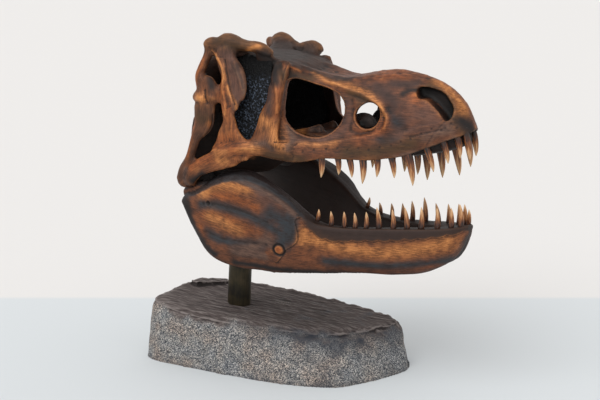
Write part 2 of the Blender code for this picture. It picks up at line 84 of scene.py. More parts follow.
# how far the relief of the skull stays inside the box of the solids
BOX_MARGIN = 0.3
# these rays measure how open each place of the bones is, for their painted shade
# how far each place looks for what covers it, in metres, how many places are skipped, the number
# of rays, the turn from one ray to the next, and how far off the surface they start
AIR_REACH = 0.09
AIR_STEP = 4
AIR_RAYS = 14
RAY_TURN = 2.399963
RAY_START = 0.0006
# shifts of the brush marks from bar to bar and from side to side, so that none repeat
GRAIN_PER_BAR = 211.0
GRAIN_PER_SIDE = 37.0
# the camera stands 30 degrees round from the right side, 2 m away
CAMERA_TURN = radians(30)
CAMERA_PLACE = (1.02293535, -1.70249397, 0.6369027)
CAMERA_AIM = (0.040, 0.0, 0.269)
CAMERA_LENS = 76.44
PAPER_SIZE = 80.0
SKY_COLOR = (1.0, 0.985, 0.97, 1)
SUN_TURN = (radians(38), radians(-22), radians(20))
SUN_SPREAD = radians(50)


def linear(code):
    """An sRGB hex colour as linear red, green and blue."""
    parts = [int(code[i:i + 2], 16) / 255 for i in (1, 3, 5)]
    return tuple(v / 12.92 if v <= 0.04045 else ((v + 0.055) / 1.055) ** 2.4 for v in parts)


# ---- the bones, in millimetres ---------------------------------------------------------------
# snout: x, margin y z, lip y z, side y z, ridge y z, roof edge y z, roof middle z
SNOUT = [
    (35, 106, 352, 105, 373, 92, 430, 78, 476, 61, 494, 485),
    (46, 105, 350, 104, 372, 90, 430, 76, 474, 52, 490, 482),
    (62, 99, 347, 97, 370, 82, 430, 67, 468, 41, 485, 479),
    (80, 95, 345, 93, 368, 75, 420, 61, 463, 38, 480, 474),
    (100, 89, 347, 86, 370, 69, 415, 58, 458, 37, 474, 470),
    (121, 82, 352, 78, 374, 65, 412, 56, 453, 35, 469, 468),
    (148, 75, 352, 70, 374, 61, 410, 54, 448, 36, 467, 472),
    (178, 68, 352, 65, 374, 57, 410, 50, 442, 30, 468, 478),
    (212, 60, 355, 58, 377, 53, 405, 44, 440, 27, 469, 481),
    (248, 51, 363, 50, 385, 45, 410, 36, 440, 22, 465, 476),
    (281, 41, 376, 41, 396, 37, 414, 29, 436, 17, 455, 465),
    (305, 32, 386, 32, 404, 28, 415, 21, 430, 12, 443, 449),
    (320, 23, 391, 23, 403, 19, 411, 13, 420, 7, 427, 430),
    (330, 12, 394, 12, 400, 10, 403, 7, 406, 4, 408, 409),
    (333, 6, 395, 6, 398, 5, 400, 4, 401, 2, 402, 402),
]
SNOUT_WALL = 9.0
CAVITY_FRONT = 214.0
ANTORBITAL = [(58, 458), (60, 464), (71, 465), (89, 461), (115, 454), (129, 449), (139, 443),
              (146, 433), (148, 420), (146, 411), (142, 401), (134, 391), (125, 385), (113, 382),
              (96, 384), (81, 389), (70, 397), (62, 407), (60, 420), (59, 440)]
MAXILLARY = (184, 415.5, 19.0)
NOSTRIL_OUTLINE = [(252, 458), (270, 457), (287, 452), (298, 441), (305, 430), (305, 418),
                   (298, 412), (290, 421), (279, 432), (266, 442), (254, 444)]
NOSTRIL_FLOOR = 10.0

# bars of the face: x, y, z, width, thickness along the bar
FACE_BARS = {
    "jugal": [(76, 93, 361, 30, 12), (56, 100, 362, 28, 13), (34, 106, 364, 24, 14),
              (10, 111, 362, 30, 14), (-14, 113, 356, 46, 14), (-34, 115, 344, 36, 14),
              (-52, 115, 336, 30, 14), (-74, 115, 326, 26, 15), (-88, 113, 314, 26, 16),
              (-90, 112, 304, 20, 16)],
    "jugal_rise": [(-16, 113, 346, 66, 13), (-16, 112, 368, 58, 12), (-18, 112, 384, 40, 12),
                   (-18, 111, 400, 24, 11), (-20, 109, 420, 14, 10)],
    "lacrimal": [(40, 104, 372, 50, 14), (42, 99, 392, 38, 13), (44, 95, 411, 34, 13),
                 (48, 90, 432, 25, 14), (48, 82, 452, 25, 14), (47, 74, 470, 26, 14),
                 (45, 62, 487, 30, 12)],
    "horn": [(24, 62, 480, 30, 18), (20, 68, 493, 28, 18), (16, 74, 503, 20, 14)],
    "postorbital": [(-38, 88, 508, 30, 22), (-32, 93, 488, 34, 16), (-19, 98, 468, 42, 13),
                    (-15, 102, 448, 44, 12), (-15, 106, 430, 34, 11), (-10, 109, 419, 16, 8)],
    "rim": [(-56, 85, 507, 13, 14), (-45, 92, 494, 13, 14), (-33, 97, 479, 13, 14),
            (-31, 99, 464, 14, 14), (-31, 104, 440, 15, 14), (-25, 109, 419, 14, 12),
            (-20, 111, 398, 14, 12)],
    "squamosal": [(-66, 89, 511, 18, 14), (-68, 92, 498, 14, 13), (-73, 97, 482, 14, 13),
                  (-77, 101, 466, 16, 14), (-66, 104, 452, 38, 16), (-62, 107, 440, 50, 19),
                  (-62, 108, 430, 48, 19)],
    "quadratojugal": [(-63, 110, 424, 38, 16), (-62, 112, 408, 37, 13), (-64, 113, 394, 34, 12),
                      (-76, 114, 376, 18, 12), (-83, 115, 358, 14, 13), (-89, 115, 340, 16, 15),
                      (-98, 113, 322, 22, 18), (-104, 112, 307, 22, 20)],
    "condyle": [(-102, 113, 305, 22, 22), (-98, 100, 302, 20, 20), (-95, 88, 303, 18, 18)],
    "bridge": [(-22, 30, 492, 44, 20), (-28, 60, 500, 40, 20), (-38, 84, 508, 30, 22)],
    "quadrate": [(-86, 107, 350, 112, 12), (-82, 88, 350, 116, 10), (-74, 66, 354, 106, 10),
                 (-62, 44, 352, 100, 10), (-56, 20, 362, 76, 12)],
    "pterygoid": [(-92, 88, 326, 30, 12), (-66, 66, 338, 44, 12), (-34, 46, 343, 58, 13),
                  (-4, 36, 346, 62, 14), (28, 31, 358, 46, 14), (60, 26, 370, 32, 14),
                  (92, 22, 378, 36, 14)],
    "nape": [(-84, 0, 446, 104, 16), (-84, 34, 446, 106, 14), (-80, 62, 444, 100, 13),
             (-73, 84, 434, 82, 13), (-72, 99, 430, 60, 13)],
    "window_boss": [(150, 36, 386, 22, 12), (164, 35, 396, 40, 16), (174, 34, 399, 38, 16),
                    (186, 33, 393, 26, 14), (195, 32, 387, 14, 10)],
}
# the brows are not alike: one to the right, one to the left
BROW_RIGHT = [(30, 72, 504, 12, 14), (20, 76, 510, 15, 18), (8, 79, 512, 17, 20),
              (-6, 81, 513, 17, 22), (-20, 82, 515, 22, 24), (-38, 82, 517, 29, 30),
              (-52, 86, 514, 22, 24), (-62, 89, 515, 20, 18), (-70, 91, 512, 18, 14)]
BROW_LEFT = [(32, 73, 499, 20, 16), (20, 77, 503, 22, 18), (8, 79, 502, 20, 20),
             (-8, 80, 500, 18, 20), (-22, 81, 503, 22, 24), (-40, 81, 512, 27, 30),
             (-53, 85, 509, 22, 22), (-62, 88, 508, 18, 16), (-70, 91, 509, 16, 14)]
EYE_WALL = [(-2, 92, 368, 82, 10), (-1, 89, 398, 84, 10), (-1, 87, 430, 84, 11),
            (-1, 82, 460, 82, 11), (1, 76, 482, 72, 12), (2, 70, 494, 62, 12)]
# bars in the middle plane
MIDDLE_BARS = {
    "roof": [(76, 0, 467, 104, 14), (56, 0, 479, 132, 18), (34, 0, 484, 146, 20),
             (8, 0, 489, 140, 20), (-16, 0, 491, 132, 22), (-38, 0, 490, 84, 26),
             (-62, 0, 488, 54, 30), (-88, 0, 488, 60, 32)],
    "braincase": [(-16, 0, 470, 44, 50), (-38, 0, 458, 66, 70), (-60, 0, 440, 72, 100),
                  (-80, 0, 430, 70, 110), (-96, 0, 424, 46, 60)],
    "knob": [(-88, 0, 414, 26, 26), (-108, 0, 410, 24, 24)],
    "foot": [(-64, 0, 420, 64, 62), (-64, 0, 390, 58, 56), (-62, 0, 366, 52, 50),
             (-60, 0, 350, 44, 44)],
    "palate": [(60, 0, 378, 60, 10), (92, 0, 378, 92, 10), (130, 0, 378, 100, 10),
               (170, 0, 380, 90, 10), (216, 0, 384, 70, 12)],
    "palate_front": [(212, 0, 370, 70, 12), (240, 0, 367, 88, 20), (265, 0, 371, 76, 20),
                     (285, 0, 374, 62, 20), (304, 0, 380, 46, 20), (318, 0, 385, 30, 18)],
}
# which way a bar's thickness lies, and how square its section is, where not the usual
BAR_OUT = {"condyle": (0, 0, 1), "bridge": (0, 0, 1), "quadrate": (1, 0, 0), "nape": (1, 0, 0),
           "roof": (0, 0, 1), "braincase": (0, 0, 1), "knob": (0, 0, 1), "foot": (1, 0, 0),
           "palate": (0, 0, 1), "palate_front": (0, 0, 1)}
USUAL_OUT = (0, 1, 0)
BAR_POWER = {"horn": 0.7, "lacrimal": 0.7, "postorbital": 0.8, "eye_wall": 0.6, "roof": 0.6,
             "braincase": 0.8, "palate": 0.6, "palate_front": 0.7, "nape": 0.7}

# teeth: x of the root, how far the tip lies in front of it, and length
UPPER_RIGHT = [(120, 0, 29), (144, 2, 24), (161, 5, 27), (181, 0, 36), (202, 0, 27), (222, 6, 30),
               (246, 9, 45), (271, 13, 33), (294, 9, 30), (312, 6, 29), (322, 8, 35)]
UPPER_LEFT = [(127, 2, 35), (166, 4, 31), (189, 3, 35), (214, 3, 39), (230, 5, 49), (256, 7, 49),
              (282, 12, 52), (306, 9, 46), (321, 6, 33)]
LOWER_RIGHT = [(113, 3, 16), (135, -1, 20), (154, 0, 23), (170, -1, 22), (186, 0, 24), (205, -4, 31),
               (226, -2, 28), (246, -4, 31), (266, 0, 32), (288, -1, 30), (306, 0, 29),
               (318, -2, 32)]
LOWER_LEFT = [(120, 5, 16), (147, -2, 17), (170, -1, 21), (191, 0, 25), (210, -1, 30), (234, -2, 37),
              (259, -5, 29), (278, -1, 29), (298, -1, 30), (309, 0, 30), (318, 1, 23)]
UPPER_GIRTH = (6.4, 0.155)
LOWER_GIRTH = (5.0, 0.13)
TOOTH_FLATNESS = 0.78
TOOTH_SWELL = 0.14
TOOTH_SIDES = 18
TOOTH_CUTS = 13
# how much of a tooth is buried, for a length of 1, and how the paint shifts from tooth to tooth
TOOTH_BURIED = 0.25
CROWN_SHIFT = 3.7

# lower jaw: x, top edge y z, crest y z, widest y z, bottom y z, inner y
JAW = [
    (-106, 106, 277, 111, 278, 115, 273, 110, 268, 104, 0),
    (-98, 98, 286, 112, 284, 118, 270, 112, 253, 94, 0),
    (-86, 93, 296, 115, 283, 118, 256, 109, 227, 88, 0),
    (-64, 91, 307, 118, 291, 119, 244, 108, 196, 84, 0),
    (-42, 90, 319, 118, 303, 120, 244, 102, 181, 82, 0),
    (-14, 89, 325, 118, 312, 120, 250, 96, 175, 80, 0),
    (14, 88, 322, 116, 315, 118, 262, 92, 174, 78, 0),
    (47, 86, 306, 112, 306, 114, 252, 88, 173, 76, 0),
    (76, 85, 287, 106, 288, 106, 238, 84, 174, 74, 0),
    (98, 83, 269, 98, 265, 97, 228, 78, 175, 70, 0),
    (118, 79, 254, 89, 249, 89, 221, 72, 176, 64, 1),
    (150, 73, 246, 78, 241, 79, 215, 62, 178, 56, 4),
    (190, 61, 244, 66, 239, 68, 211, 52, 180, 42, 6),
    (230, 52, 246, 57, 241, 58, 212, 42, 181, 28, 6),
    (270, 42, 250, 47, 245, 48, 215, 32, 187, 12, 4),
    (299, 31, 253, 36, 248, 36, 223, 19, 201, -4, 3),
    (314, 22, 255, 27, 251, 26, 232, 11, 216, -12, 3),
    (323, 13, 257, 17, 253, 16, 243, 6, 235, -12, 2),
    (328, 5, 258, 7, 255, 6, 251, 3, 247, -12, 2),
]
ARTICULAR = [(-104, 100, 284, 20, 16), (-88, 100, 289, 22, 18), (-70, 98, 296, 20, 20)]

# base: outline on the table, and the rim of the top face
FLOOR_OUTLINE = [(-206, -78), (-176, -100), (-117, -104), (-33, -106), (52, -102), (112, -89),
                 (150, -69), (179, -19), (202, 50), (190, 96), (152, 132), (97, 140), (12, 139),
                 (-59, 127), (-112, 118), (-160, 94), (-198, 44), (-208, -20)]
RIM_OUTLINE = [(-197, -70), (-168, -93), (-114, -98), (-50, -89), (18, -63), (70, -40),
               (104, -16), (132, 22), (156, 66), (164, 106), (146, 126), (96, 134), (12, 133),
               (-59, 121), (-110, 112), (-158, 90), (-191, 30), (-202, -20)]
SHELF = [(-189, 20), (-172, 57), (-153, 84), (-141, 75), (-152, 50), (-172, 16)]
BASE_TOP_MID = 80.0
BASE_TOP_SLOPE = -0.11
# how far the side's last ring lies below the top
RIM_DROP = 3
# rings of the block's side: share of the way from the floor outline to the rim, and of the height
BASE_LEVELS = ((0.0, 0.0), (0.06, 0.02), (0.2, 0.3), (0.45, 0.6), (0.75, 0.86))
# which way the furrows of the top run, and where the drips and the run-off grow towards the snout
BEDDING_TURN = radians(18)
DRIP_GROWTH = (-40, 60)
RUN_OFF_GROWTH = (-70, 70)
# bumps of the weathered stone: their size and their seed
FURROWS = ((55, 7, 40), 21)
FINE_FURROWS = ((24, 3.5, 40), 22)
DRIPS = ((13, 13, 50), 23)
RIPPLES = ((7, 7, 24), 24)
PITS = (3.2, 25)
RIM_BUMPS = (9, 26)
WASH_EDGE = ((18, 18, 40), 27)
CHIPS = ((11, 11, 60), 28)
SMALL_CHIPS = ((5, 5, 60), 29)
WASH_FRAY = (5, 30)
RUN_OFF = ((14, 14, 60), 31)
FOOT_EDGE = (20, 32)
LUMPS = ((24, 24, 60), 34)
SHOULDER_DEPTH = 5.5
ROD_FOOT = Vector((-78.0, 0.0, 40.0))
ROD_HEAD = Vector((-60.0, 0.0, 372.0))
ROD_BEVEL = 0.0012

# ---- relief of the bones: lines and outlines on the side of the skull, x z --------------------
FOSSA = [(40, 497), (56, 492), (75, 484), (94, 474), (124, 461), (148, 453), (171, 447),
         (190, 438), (206, 427), (214, 415), (212, 400), (198, 391), (178, 386), (155, 380),
         (130, 374), (105, 373), (84, 380), (70, 392), (62, 410), (60, 440), (58, 462), (44, 480)]
FOSSA_RIDGE = [(19, 504), (56, 493), (75, 484), (94, 474), (124, 461), (148, 453), (171, 447),
               (190, 438), (206, 427), (214, 415), (212, 400)]
SKULL_SUTURES = [[(79, 344), (83, 355), (78, 363), (86, 372)],
                 [(272, 371), (279, 386), (288, 400), (297, 411)]]
LIP_PITS = [(96, 361), (112, 364), (129, 366), (145, 368), (160, 366), (176, 369), (192, 368),
            (208, 372), (224, 375), (238, 381), (252, 386), (266, 394), (280, 401), (294, 400),
            (306, 410), (314, 404)]


# ---- mesh helpers ----------------------------------------------------------------------------
def curve_point(a, b, c, d, t):
    """One point of a Catmull-Rom curve between b and c."""
    return tuple(
        0.5 * (2 * q + (r - p) * t + (2 * p - 5 * q + 4 * r - s) * t * t
               + (3 * q - p - 3 * r + s) * t * t * t)
        for p, q, r, s in zip(a, b, c, d)
    )


def smooth_rows(rows, steps, closed=False):
    """The rows with steps - 1 more rows in each stretch, along a smooth curve."""
    count = len(rows)
    fine = []
    for i in range(count if closed else count - 1):
        if closed:
            a, b, c, d = (rows[(i + k) % count] for k in (-1, 0, 1, 2))
        else:
            a, b, c, d = (rows[min(max(i + k, 0), count - 1)] for k in (-1, 0, 1, 2))
        fine.extend(curve_point(a, b, c, d, k / steps) for k in range(steps))
    if not closed:
        fine.append(tuple(float(v) for v in rows[-1]))
    return fine


def row_at(rows, x):
    """The row of a table at x, between its two nearest rows."""
    for a, b in zip(rows, rows[1:]):
        if a[0] <= x <= b[0]:
            t = (x - a[0]) / (b[0] - a[0])
            return [p + (q - p) * t for p, q in zip(a, b)]
    return list(rows[-1])


def only(obj):
    """Select one object and make it the active one."""
    bpy.ops.object.select_all(action="DESELECT")
    obj.select_set(True)
    bpy.context.view_layer.objects.active = obj
    return obj


def finish_modifier(obj, kind, **settings):
    """Add a modifier to an object and apply it."""
    only(obj)
    bpy.ops.object.modifier_add(type=kind)
    modifier = obj.modifiers[-1]
    for name, value in settings.items():
        setattr(modifier, name, value)
    bpy.ops.object.modifier_apply(modifier=modifier.name)
    return obj


def outward(obj):
    """Turn the faces of closed bodies outwards."""
    work = bmesh.new()
    work.from_mesh(obj.data)
    bmesh.ops.recalc_face_normals(work, faces=work.faces)
    work.to_mesh(obj.data)
    work.free()
    return obj


def skin(name, rings):
    """A closed body through rings of equal length, with flat ends."""
    count = len(rings[0])
    verts = [Vector(point) * MM for ring in rings for point in ring]
    faces = []
    for i in range(len(rings) - 1):
        for j in range(count):
            k = (j + 1) % count
            low = i * count
            high = low + count
            faces.append((low + j, low + k, high + k, high + j))
    faces.append(tuple(reversed(range(count))))
    faces.append(tuple(range(len(verts) - count, len(verts))))
    mesh = bpy.data.meshes.new(name)
    mesh.from_pydata(verts, [], faces)
    obj = bpy.data.objects.new(name, mesh)
    bpy.context.collection.objects.link(obj)
    return outward(obj)


def bar(name, rows, steps=6, sides=24):
    """A bar with an oval section along its rows: width in the face, thickness along out."""
    fine = smooth_rows(rows, steps)
    out = Vector(BAR_OUT.get(name, USUAL_OUT))
    power = BAR_POWER.get(name, 1.0)
    rings = []
    for i, (x, y, z, wide, thick) in enumerate(fine):
        ahead = Vector(fine[min(i + 1, len(fine) - 1)][:3])
        behind = Vector(fine[max(i - 1, 0)][:3])
        along = (ahead - behind).normalized()
        normal = (out - along * out.dot(along)).normalized()
        across = along.cross(normal)
        rings.append((Vector((x, y, z)), along, across * wide / 2, normal * thick / 2))
    start, end = rings[0], rings[-1]
    round_start = (start[0] - start[1] * start[3].length * 0.7, start[1], start[2] * 0.6,
                   start[3] * 0.6)
    round_end = (end[0] + end[1] * end[3].length * 0.7, end[1], end[2] * 0.6, end[3] * 0.6)
    sections = []
    for centre, _, across, normal in [round_start] + rings + [round_end]:
        section = []
        for k in range(sides):
            turn = 2 * pi * k / sides
            u = abs(cos(turn)) ** power * (1 if cos(turn) >= 0 else -1)
            v = abs(sin(turn)) ** power * (1 if sin(turn) >= 0 else -1)
            section.append(centre + across * u + normal * v)
        sections.append(section)
    return skin(name, sections)


def across(obj):
    """Move a body to the other side of the middle plane."""
    obj.data.transform(Matrix.Scale(-1.0, 4, Vector((0, 1, 0))))
    return outward(obj)


def mirrored(obj):
    """A copy of a body, with its own mesh, on the other side of the middle plane."""
    copy = obj.copy()
    copy.data = obj.data.copy()
    bpy.context.collection.objects.link(copy)
    return across(copy)


def joined(name, objects):
    """Several bodies as one object."""
    obj = only(objects[0])
    for other in objects:
        other.select_set(True)
    bpy.ops.object.join()
    obj.name = name
    obj.data.name = name
    return obj


def cut(obj, cutter):
    """Take one body out of another."""
    finish_modifier(obj, "BOOLEAN", object=cutter, operation="DIFFERENCE", solver="EXACT")
    bpy.data.objects.remove(cutter, do_unlink=True)
    return obj


def fused(obj, grid, rounds):
    """Overlapping bodies as one even skin on a grid, then smoothed."""
    finish_modifier(obj, "REMESH", mode="VOXEL", voxel_size=grid)
    return finish_modifier(obj, "SMOOTH", factor=0.5, iterations=rounds)


def webbed(obj, grid, fillet, rounds):
    """The same even skin, with the sharp inner corners filled to a radius."""
    finish_modifier(obj, "REMESH", mode="VOXEL", voxel_size=grid)
    for swell in (fillet, -fillet):
        finish_modifier(obj, "DISPLACE", strength=swell, mid_level=0.0)
        fused(obj, grid, rounds)
    return obj


def thinned(obj, triangles):
    """Bring a body down to a number of triangles."""
    now = sum(len(p.vertices) - 2 for p in obj.data.polygons)
    if now > triangles:
        finish_modifier(obj, "DECIMATE", ratio=triangles / now, use_collapse_triangulate=True)
    return obj


def places(obj):
    """A body's vertices in millimetres, and their normals."""
    found = []
    for name in ("co", "normal"):
        values = np.empty(len(obj.data.vertices) * 3, np.float32)
        obj.data.vertices.foreach_get(name, values)
        found.append(values.reshape(-1, 3).astype(float))
    return found[0] / MM, found[1]


def move_to(obj, co):
    """Move a body's vertices to places in millimetres."""
    obj.data.vertices.foreach_set("co", (co * MM).astype(np.float32).ravel())
    obj.data.update()


def store(obj, name, values):
    """Keep a number or a vector for each vertex, for the paint."""
    kind, field = ("FLOAT", "value") if values.ndim == 1 else ("FLOAT_VECTOR", "vector")
    layer = obj.data.attributes.new(name, kind, "POINT")
    layer.data.foreach_set(field, values.astype(np.float32).ravel())


def rough(points, size, seed=0):
    """Smooth random values from -1 to 1 whose bumps have a size."""
    scaled = points / np.asarray(size, float)
    cell = np.floor(scaled).astype(np.int64)
    part = scaled - cell
    part = part * part * (3 - 2 * part)
    total = np.zeros(len(points))
    for corner in product((0, 1), repeat=3):
        spot = cell + corner
        code = (spot[:, 0] * 73856093) ^ (spot[:, 1] * 19349663) ^ (spot[:, 2] * 83492791)
        code = code + seed * 7919
        code = ((code ^ (code >> 13)) * 1274126177) & 0xFFFFFF
        share = np.prod(np.where(corner, part, 1 - part), axis=1)
        total += share * (code / 0x7FFFFF - 1)
    return total


def soft_step(low, high, values):
    """0 below low, 1 above high, and smooth between."""
    t = np.clip((values - low) / (high - low), 0, 1)
    return t * t * (3 - 2 * t)


def line_distance(points, line):
    """How far each point is from a line of points."""
    best = np.full(len(points), 1e9)
    for a, b in zip(line, line[1:]):
        start = np.array(a, float)
        step = np.array(b, float) - start
        t = np.clip(((points - start) @ step) / (step @ step), 0, 1)
        best = np.minimum(best, np.linalg.norm(points - start - t[:, None] * step, axis=1))
    return best


def inside(points, outline):
    """Which points lie inside a closed outline."""
    hits = np.zeros(len(points), int)
    for (ax, az), (bx, bz) in zip(outline, outline[1:] + outline[:1]):
        if az == bz:
            continue
        spans = (az > points[:, 1]) != (bz > points[:, 1])
        crossing = ax + (points[:, 1] - az) * (bx - ax) / (bz - az)
        hits += spans & (points[:, 0] < crossing)
    return hits % 2 == 1


def depth_inside(points, outline):
    """Distance from an outline, positive inside it."""
    far = line_distance(points, outline + outline[:1])
    return np.where(inside(points, outline), far, -far)


def neighbour_mean(obj, values, rounds):
    """Values evened out along the edges of a mesh, as many times as rounds."""
    edges = np.empty(len(obj.data.edges) * 2, np.int32)
    obj.data.edges.foreach_get("vertices", edges)
    a, b = edges.reshape(-1, 2).T
    count = len(values)
    near = np.bincount(a, minlength=count) + np.bincount(b, minlength=count)
    near = np.maximum(near, 1)
    flat = values.reshape(count, -1).astype(float)
    for _ in range(rounds):
        fresh = np.empty_like(flat)
        for k in range(flat.shape[1]):
            fresh[:, k] = np.bincount(a, flat[b, k], count) + np.bincount(b, flat[a, k], count)
        flat = 0.5 * flat + 0.5 * fresh / near[:, None]
    return flat.reshape(values.shape)


def raised_edges(obj, co, normal, rounds, height):
    """How far each place stands out of its surroundings, from -1 to 1."""
    even = neighbour_mean(obj, co, rounds)
    return np.clip(((co - even) * normal).sum(1) / height, -1, 1)


# painted shade: the bones' paint turns near-black where this openness is low
def openness(obj):
    """How much of its surroundings each place sees, from 0 to 1, spread from every AIR_STEP-th."""
    vertices = obj.data.vertices
    tree = BVHTree.FromPolygons([v.co for v in vertices], [p.vertices for p in obj.data.polygons])
    spread = []
    for k in range(AIR_RAYS):
        height = (k + 0.5) / AIR_RAYS
        wide = (1 - height * height) ** 0.5
        spread.append(Vector((cos(k * RAY_TURN) * wide, sin(k * RAY_TURN) * wide, height)))
    seen = np.zeros(len(vertices))
    known = np.zeros(len(vertices))
    for i in range(0, len(vertices), AIR_STEP):
        turn = vertices[i].normal.to_track_quat("Z", "Y")
        start = vertices[i].co + vertices[i].normal * RAY_START
        free = sum(tree.ray_cast(start, turn @ ray, AIR_REACH)[0] is None for ray in spread)
        seen[i] = free / AIR_RAYS
        known[i] = 1.0
    both = neighbour_mean(obj, np.stack([seen, known], axis=1), 3 + AIR_STEP)
    return both[:, 0] / np.maximum(both[:, 1], 1e-6)


# ---- materials -------------------------------------------------------------------------------
# near-black: the black wash of the paint, and also the painted shade of hollows, insides and
# undersides
BLACK_WASH_AND_SHADE = "#0B0908"


def rgba(paint):
    """A colour for an input, from a socket, a hex code or linear red, green and blue."""
    if isinstance(paint, bpy.types.NodeSocket):
        return paint
    return (*(linear(paint) if isinstance(paint, str) else paint), 1)


class Coat:
    """A new material with one Principled shader, and short ways to add its nodes."""

    def __init__(self, name):
        self.material = bpy.data.materials.new(name)
        self.material.use_nodes = True
        self.tree = self.material.node_tree
        self.shader = self.tree.nodes["Principled BSDF"]

    def fill(self, sockets, values):
        """Link each input to a socket, or set it to a value."""
        for name, value in values.items():
            if isinstance(value, bpy.types.NodeSocket):
                self.tree.links.new(value, sockets[name])
            else:
                sockets[name].default_value = value

    def add(self, kind, settings, values):
        made = self.tree.nodes.new("ShaderNode" + kind)
        for name, value in settings.items():
            setattr(made, name, value)
        self.fill(made.inputs, values)
        return made.outputs

    def attribute(self, name, output="Vector"):
        return self.add("Attribute", {"attribute_name": name}, {})[output]

    def place(self):
        return self.add("TexCoord", {}, {})["Object"]

    def math(self, operation, *values, clamp=False):
        settings = {"operation": operation, "use_clamp": clamp}
        return self.add("Math", settings, dict(enumerate(values)))[0]

    def scaled(self, vector, amount):
        return self.add("VectorMath", {"operation": "SCALE"}, {0: vector, "Scale": amount})["Vector"]

    def parts(self, vector):
        return self.add("SeparateXYZ", {}, {"Vector": vector}).values()

    def stretched(self, vector, scale, turn=0.0):
        """The vector scaled along each axis, and first turned about the upright one."""
        values = {"Vector": vector, "Rotation": (0.0, 0.0, turn), "Scale": scale}
        return self.add("Mapping", {}, values)["Vector"]

    def noise(self, vector, scale, detail, roughness=0.5):
        values = {"Vector": vector, "Scale": scale, "Detail": detail, "Roughness": roughness}
        return self.add("TexNoise", {}, values)["Fac"]

    def cells(self, vector, scale):
        """Cells with a random colour each: the distance from their middle, and their shade."""
        made = self.add("TexVoronoi", {"feature": "F1"}, {"Vector": vector, "Scale": scale})
        return made["Distance"], self.add("SeparateColor", {}, {"Color": made["Color"]})["Red"]

    def span(self, value, low, high, first=0.0, last=1.0, kind="SMOOTHSTEP"):
        """From first to last while the value goes from low to high."""
        values = {"Value": value, "From Min": low, "From Max": high, "To Min": first,
                  "To Max": last}
        return self.add("MapRange", {"interpolation_type": kind}, values)[0]

    def mix(self, amount, below, above, blend="MIX"):
        settings = {"data_type": "RGBA", "blend_type": blend}
        return self.add("Mix", settings, {0: amount, 6: rgba(below), 7: rgba(above)})[2]

    def ramp(self, value, *stops):
        """A colour for the value, between stops of a place and a hex code."""
        made = self.tree.nodes.new("ShaderNodeValToRGB")
        elements = made.color_ramp.elements
        for place, _ in stops[:-2]:
            elements.new(place)
        for element, (place, code) in zip(elements, stops):
            element.position = place
            element.color = rgba(code)
        self.fill(made.inputs, {"Fac": value})
        return made.outputs["Color"]

    def bump(self, height, strength, distance):
        values = {"Height": height, "Strength": strength, "Distance": distance}
        return self.add("Bump", {}, values)["Normal"]

    def finish(self, color, roughness, specular, bump=None, metal=0.0):
        """Fill the shader's inputs; bump is a height, its strength and its distance."""
        values = {"Base Color": color, "Roughness": roughness, "Specular IOR Level": specular,
                  "Metallic": metal}
        if bump:
            values["Normal"] = self.bump(*bump)
        self.fill(self.shader.inputs, values)
        return self.material


def painted_bone(settings):
    """Cast resin painted near-black brown, dry-brushed with copper and gold and washed with grey.

    The brush drags over the raised places, so these are bright and streaked along the bone, and
    the hollows keep the dark undercoat. Where a place sees little open air, the paint turns
    near-black as painted shade. Satin, with a little metal pigment in the copper.
    """
    coat = Coat("painted_bone")
    grain, tint, wash, relief = map(coat.attribute, ("grain", "tint", "wash", "relief"))
    place = coat.place()
    # brush marks about 1.2 mm wide and 14 mm long, on the grain's millimetres
    streak = coat.noise(coat.stretched(grain, (0.07, 0.8, 0.25)), 1.0, 4.0, 0.6)
    # specks of paint about 1 mm across, and cloudy patches about 14 mm across
    speck = coat.noise(place, 900.0, 3.0, 0.65)
    cloud = coat.noise(place, 70.0, 3.0, 0.55)
    fine, _, shade_openness = coat.parts(relief)
    marks = coat.math("MULTIPLY", streak, 0.5)
    marks = coat.math("MULTIPLY_ADD", speck, 0.2, marks)
    marks = coat.math("MULTIPLY_ADD", cloud, 0.3, marks)
    even = coat.span(marks, 0.39, 0.64)
    load = coat.math("MULTIPLY_ADD", coat.math("MULTIPLY_ADD", fine, 0.2, even), 0.9, 0.22)
    copper, gold, slate = coat.parts(coat.scaled(tint, load))
    soft = coat.math("MULTIPLY_ADD", even, 0.5, 0.5)
    olive, mauve, black = coat.parts(coat.scaled(wash, soft))
    color = coat.mix(cloud, settings.undercoat, "#28160D")
    for amount, paint in ((copper, coat.mix(cloud, "#743216", settings.copper)),
                          (olive, settings.olive), (mauve, settings.mauve),
                          (slate, settings.slate), (gold, settings.gold), (black, BLACK_WASH_AND_SHADE)):
        color = coat.mix(amount, color, paint)
    # painted shade: places that see little open air turn near-black
    color = coat.mix(coat.span(shade_openness, 0.12, 0.74, 0.97, 0.0), color, BLACK_WASH_AND_SHADE)
    bright = coat.math("ADD", copper, gold, clamp=True)
    height = coat.math("MULTIPLY_ADD", streak, 0.7, speck)
    return coat.finish(color, coat.span(bright, 0.0, 1.0, 0.6, 0.42, "LINEAR"), 0.3,
                       (height, 0.45, 0.0006), coat.math("MULTIPLY", bright, 0.22))


def painted_tooth(settings):
    """Cast resin teeth, brown at the root and dry-brushed to golden cream at the tip."""
    coat = Coat("painted_tooth")
    crown = coat.attribute("crown")
    # about 16 streaks round the tooth, running up it
    streak = coat.noise(coat.stretched(crown, (2.5, 2.6, 1.0)), 1.0, 3.0)
    worn_off = coat.math("MULTIPLY_ADD", streak, 1.5, -0.75)
    color = coat.ramp(coat.math("ADD", worn_off, coat.parts(crown)[0]), (0.04, "#1E100A"),
                      (0.3, "#5A2F18"), (0.6, "#A1683A"), (0.97, "#DDB588"))
    return coat.finish(color, 0.36, 0.5, (streak, 0.3, 0.0004))


def black_grit(settings):
    """Black paint over coarse grit in the eye sockets, with small blue-grey glints as painted
    highlights.
    """
    coat = Coat("black_grit")
    painted_glint = coat.attribute("painted_glint", "Fac")
    # grit about 1.8 mm across
    distance, speck = coat.cells(coat.place(), 560.0)
    color = coat.ramp(coat.math("MULTIPLY", speck, painted_glint), (0.3, "#040405"), (0.7, "#171A20"),
                      (1.0, "#4C5563"))
    return coat.finish(color, 0.5, 0.2, (distance, 0.9, 0.0015))


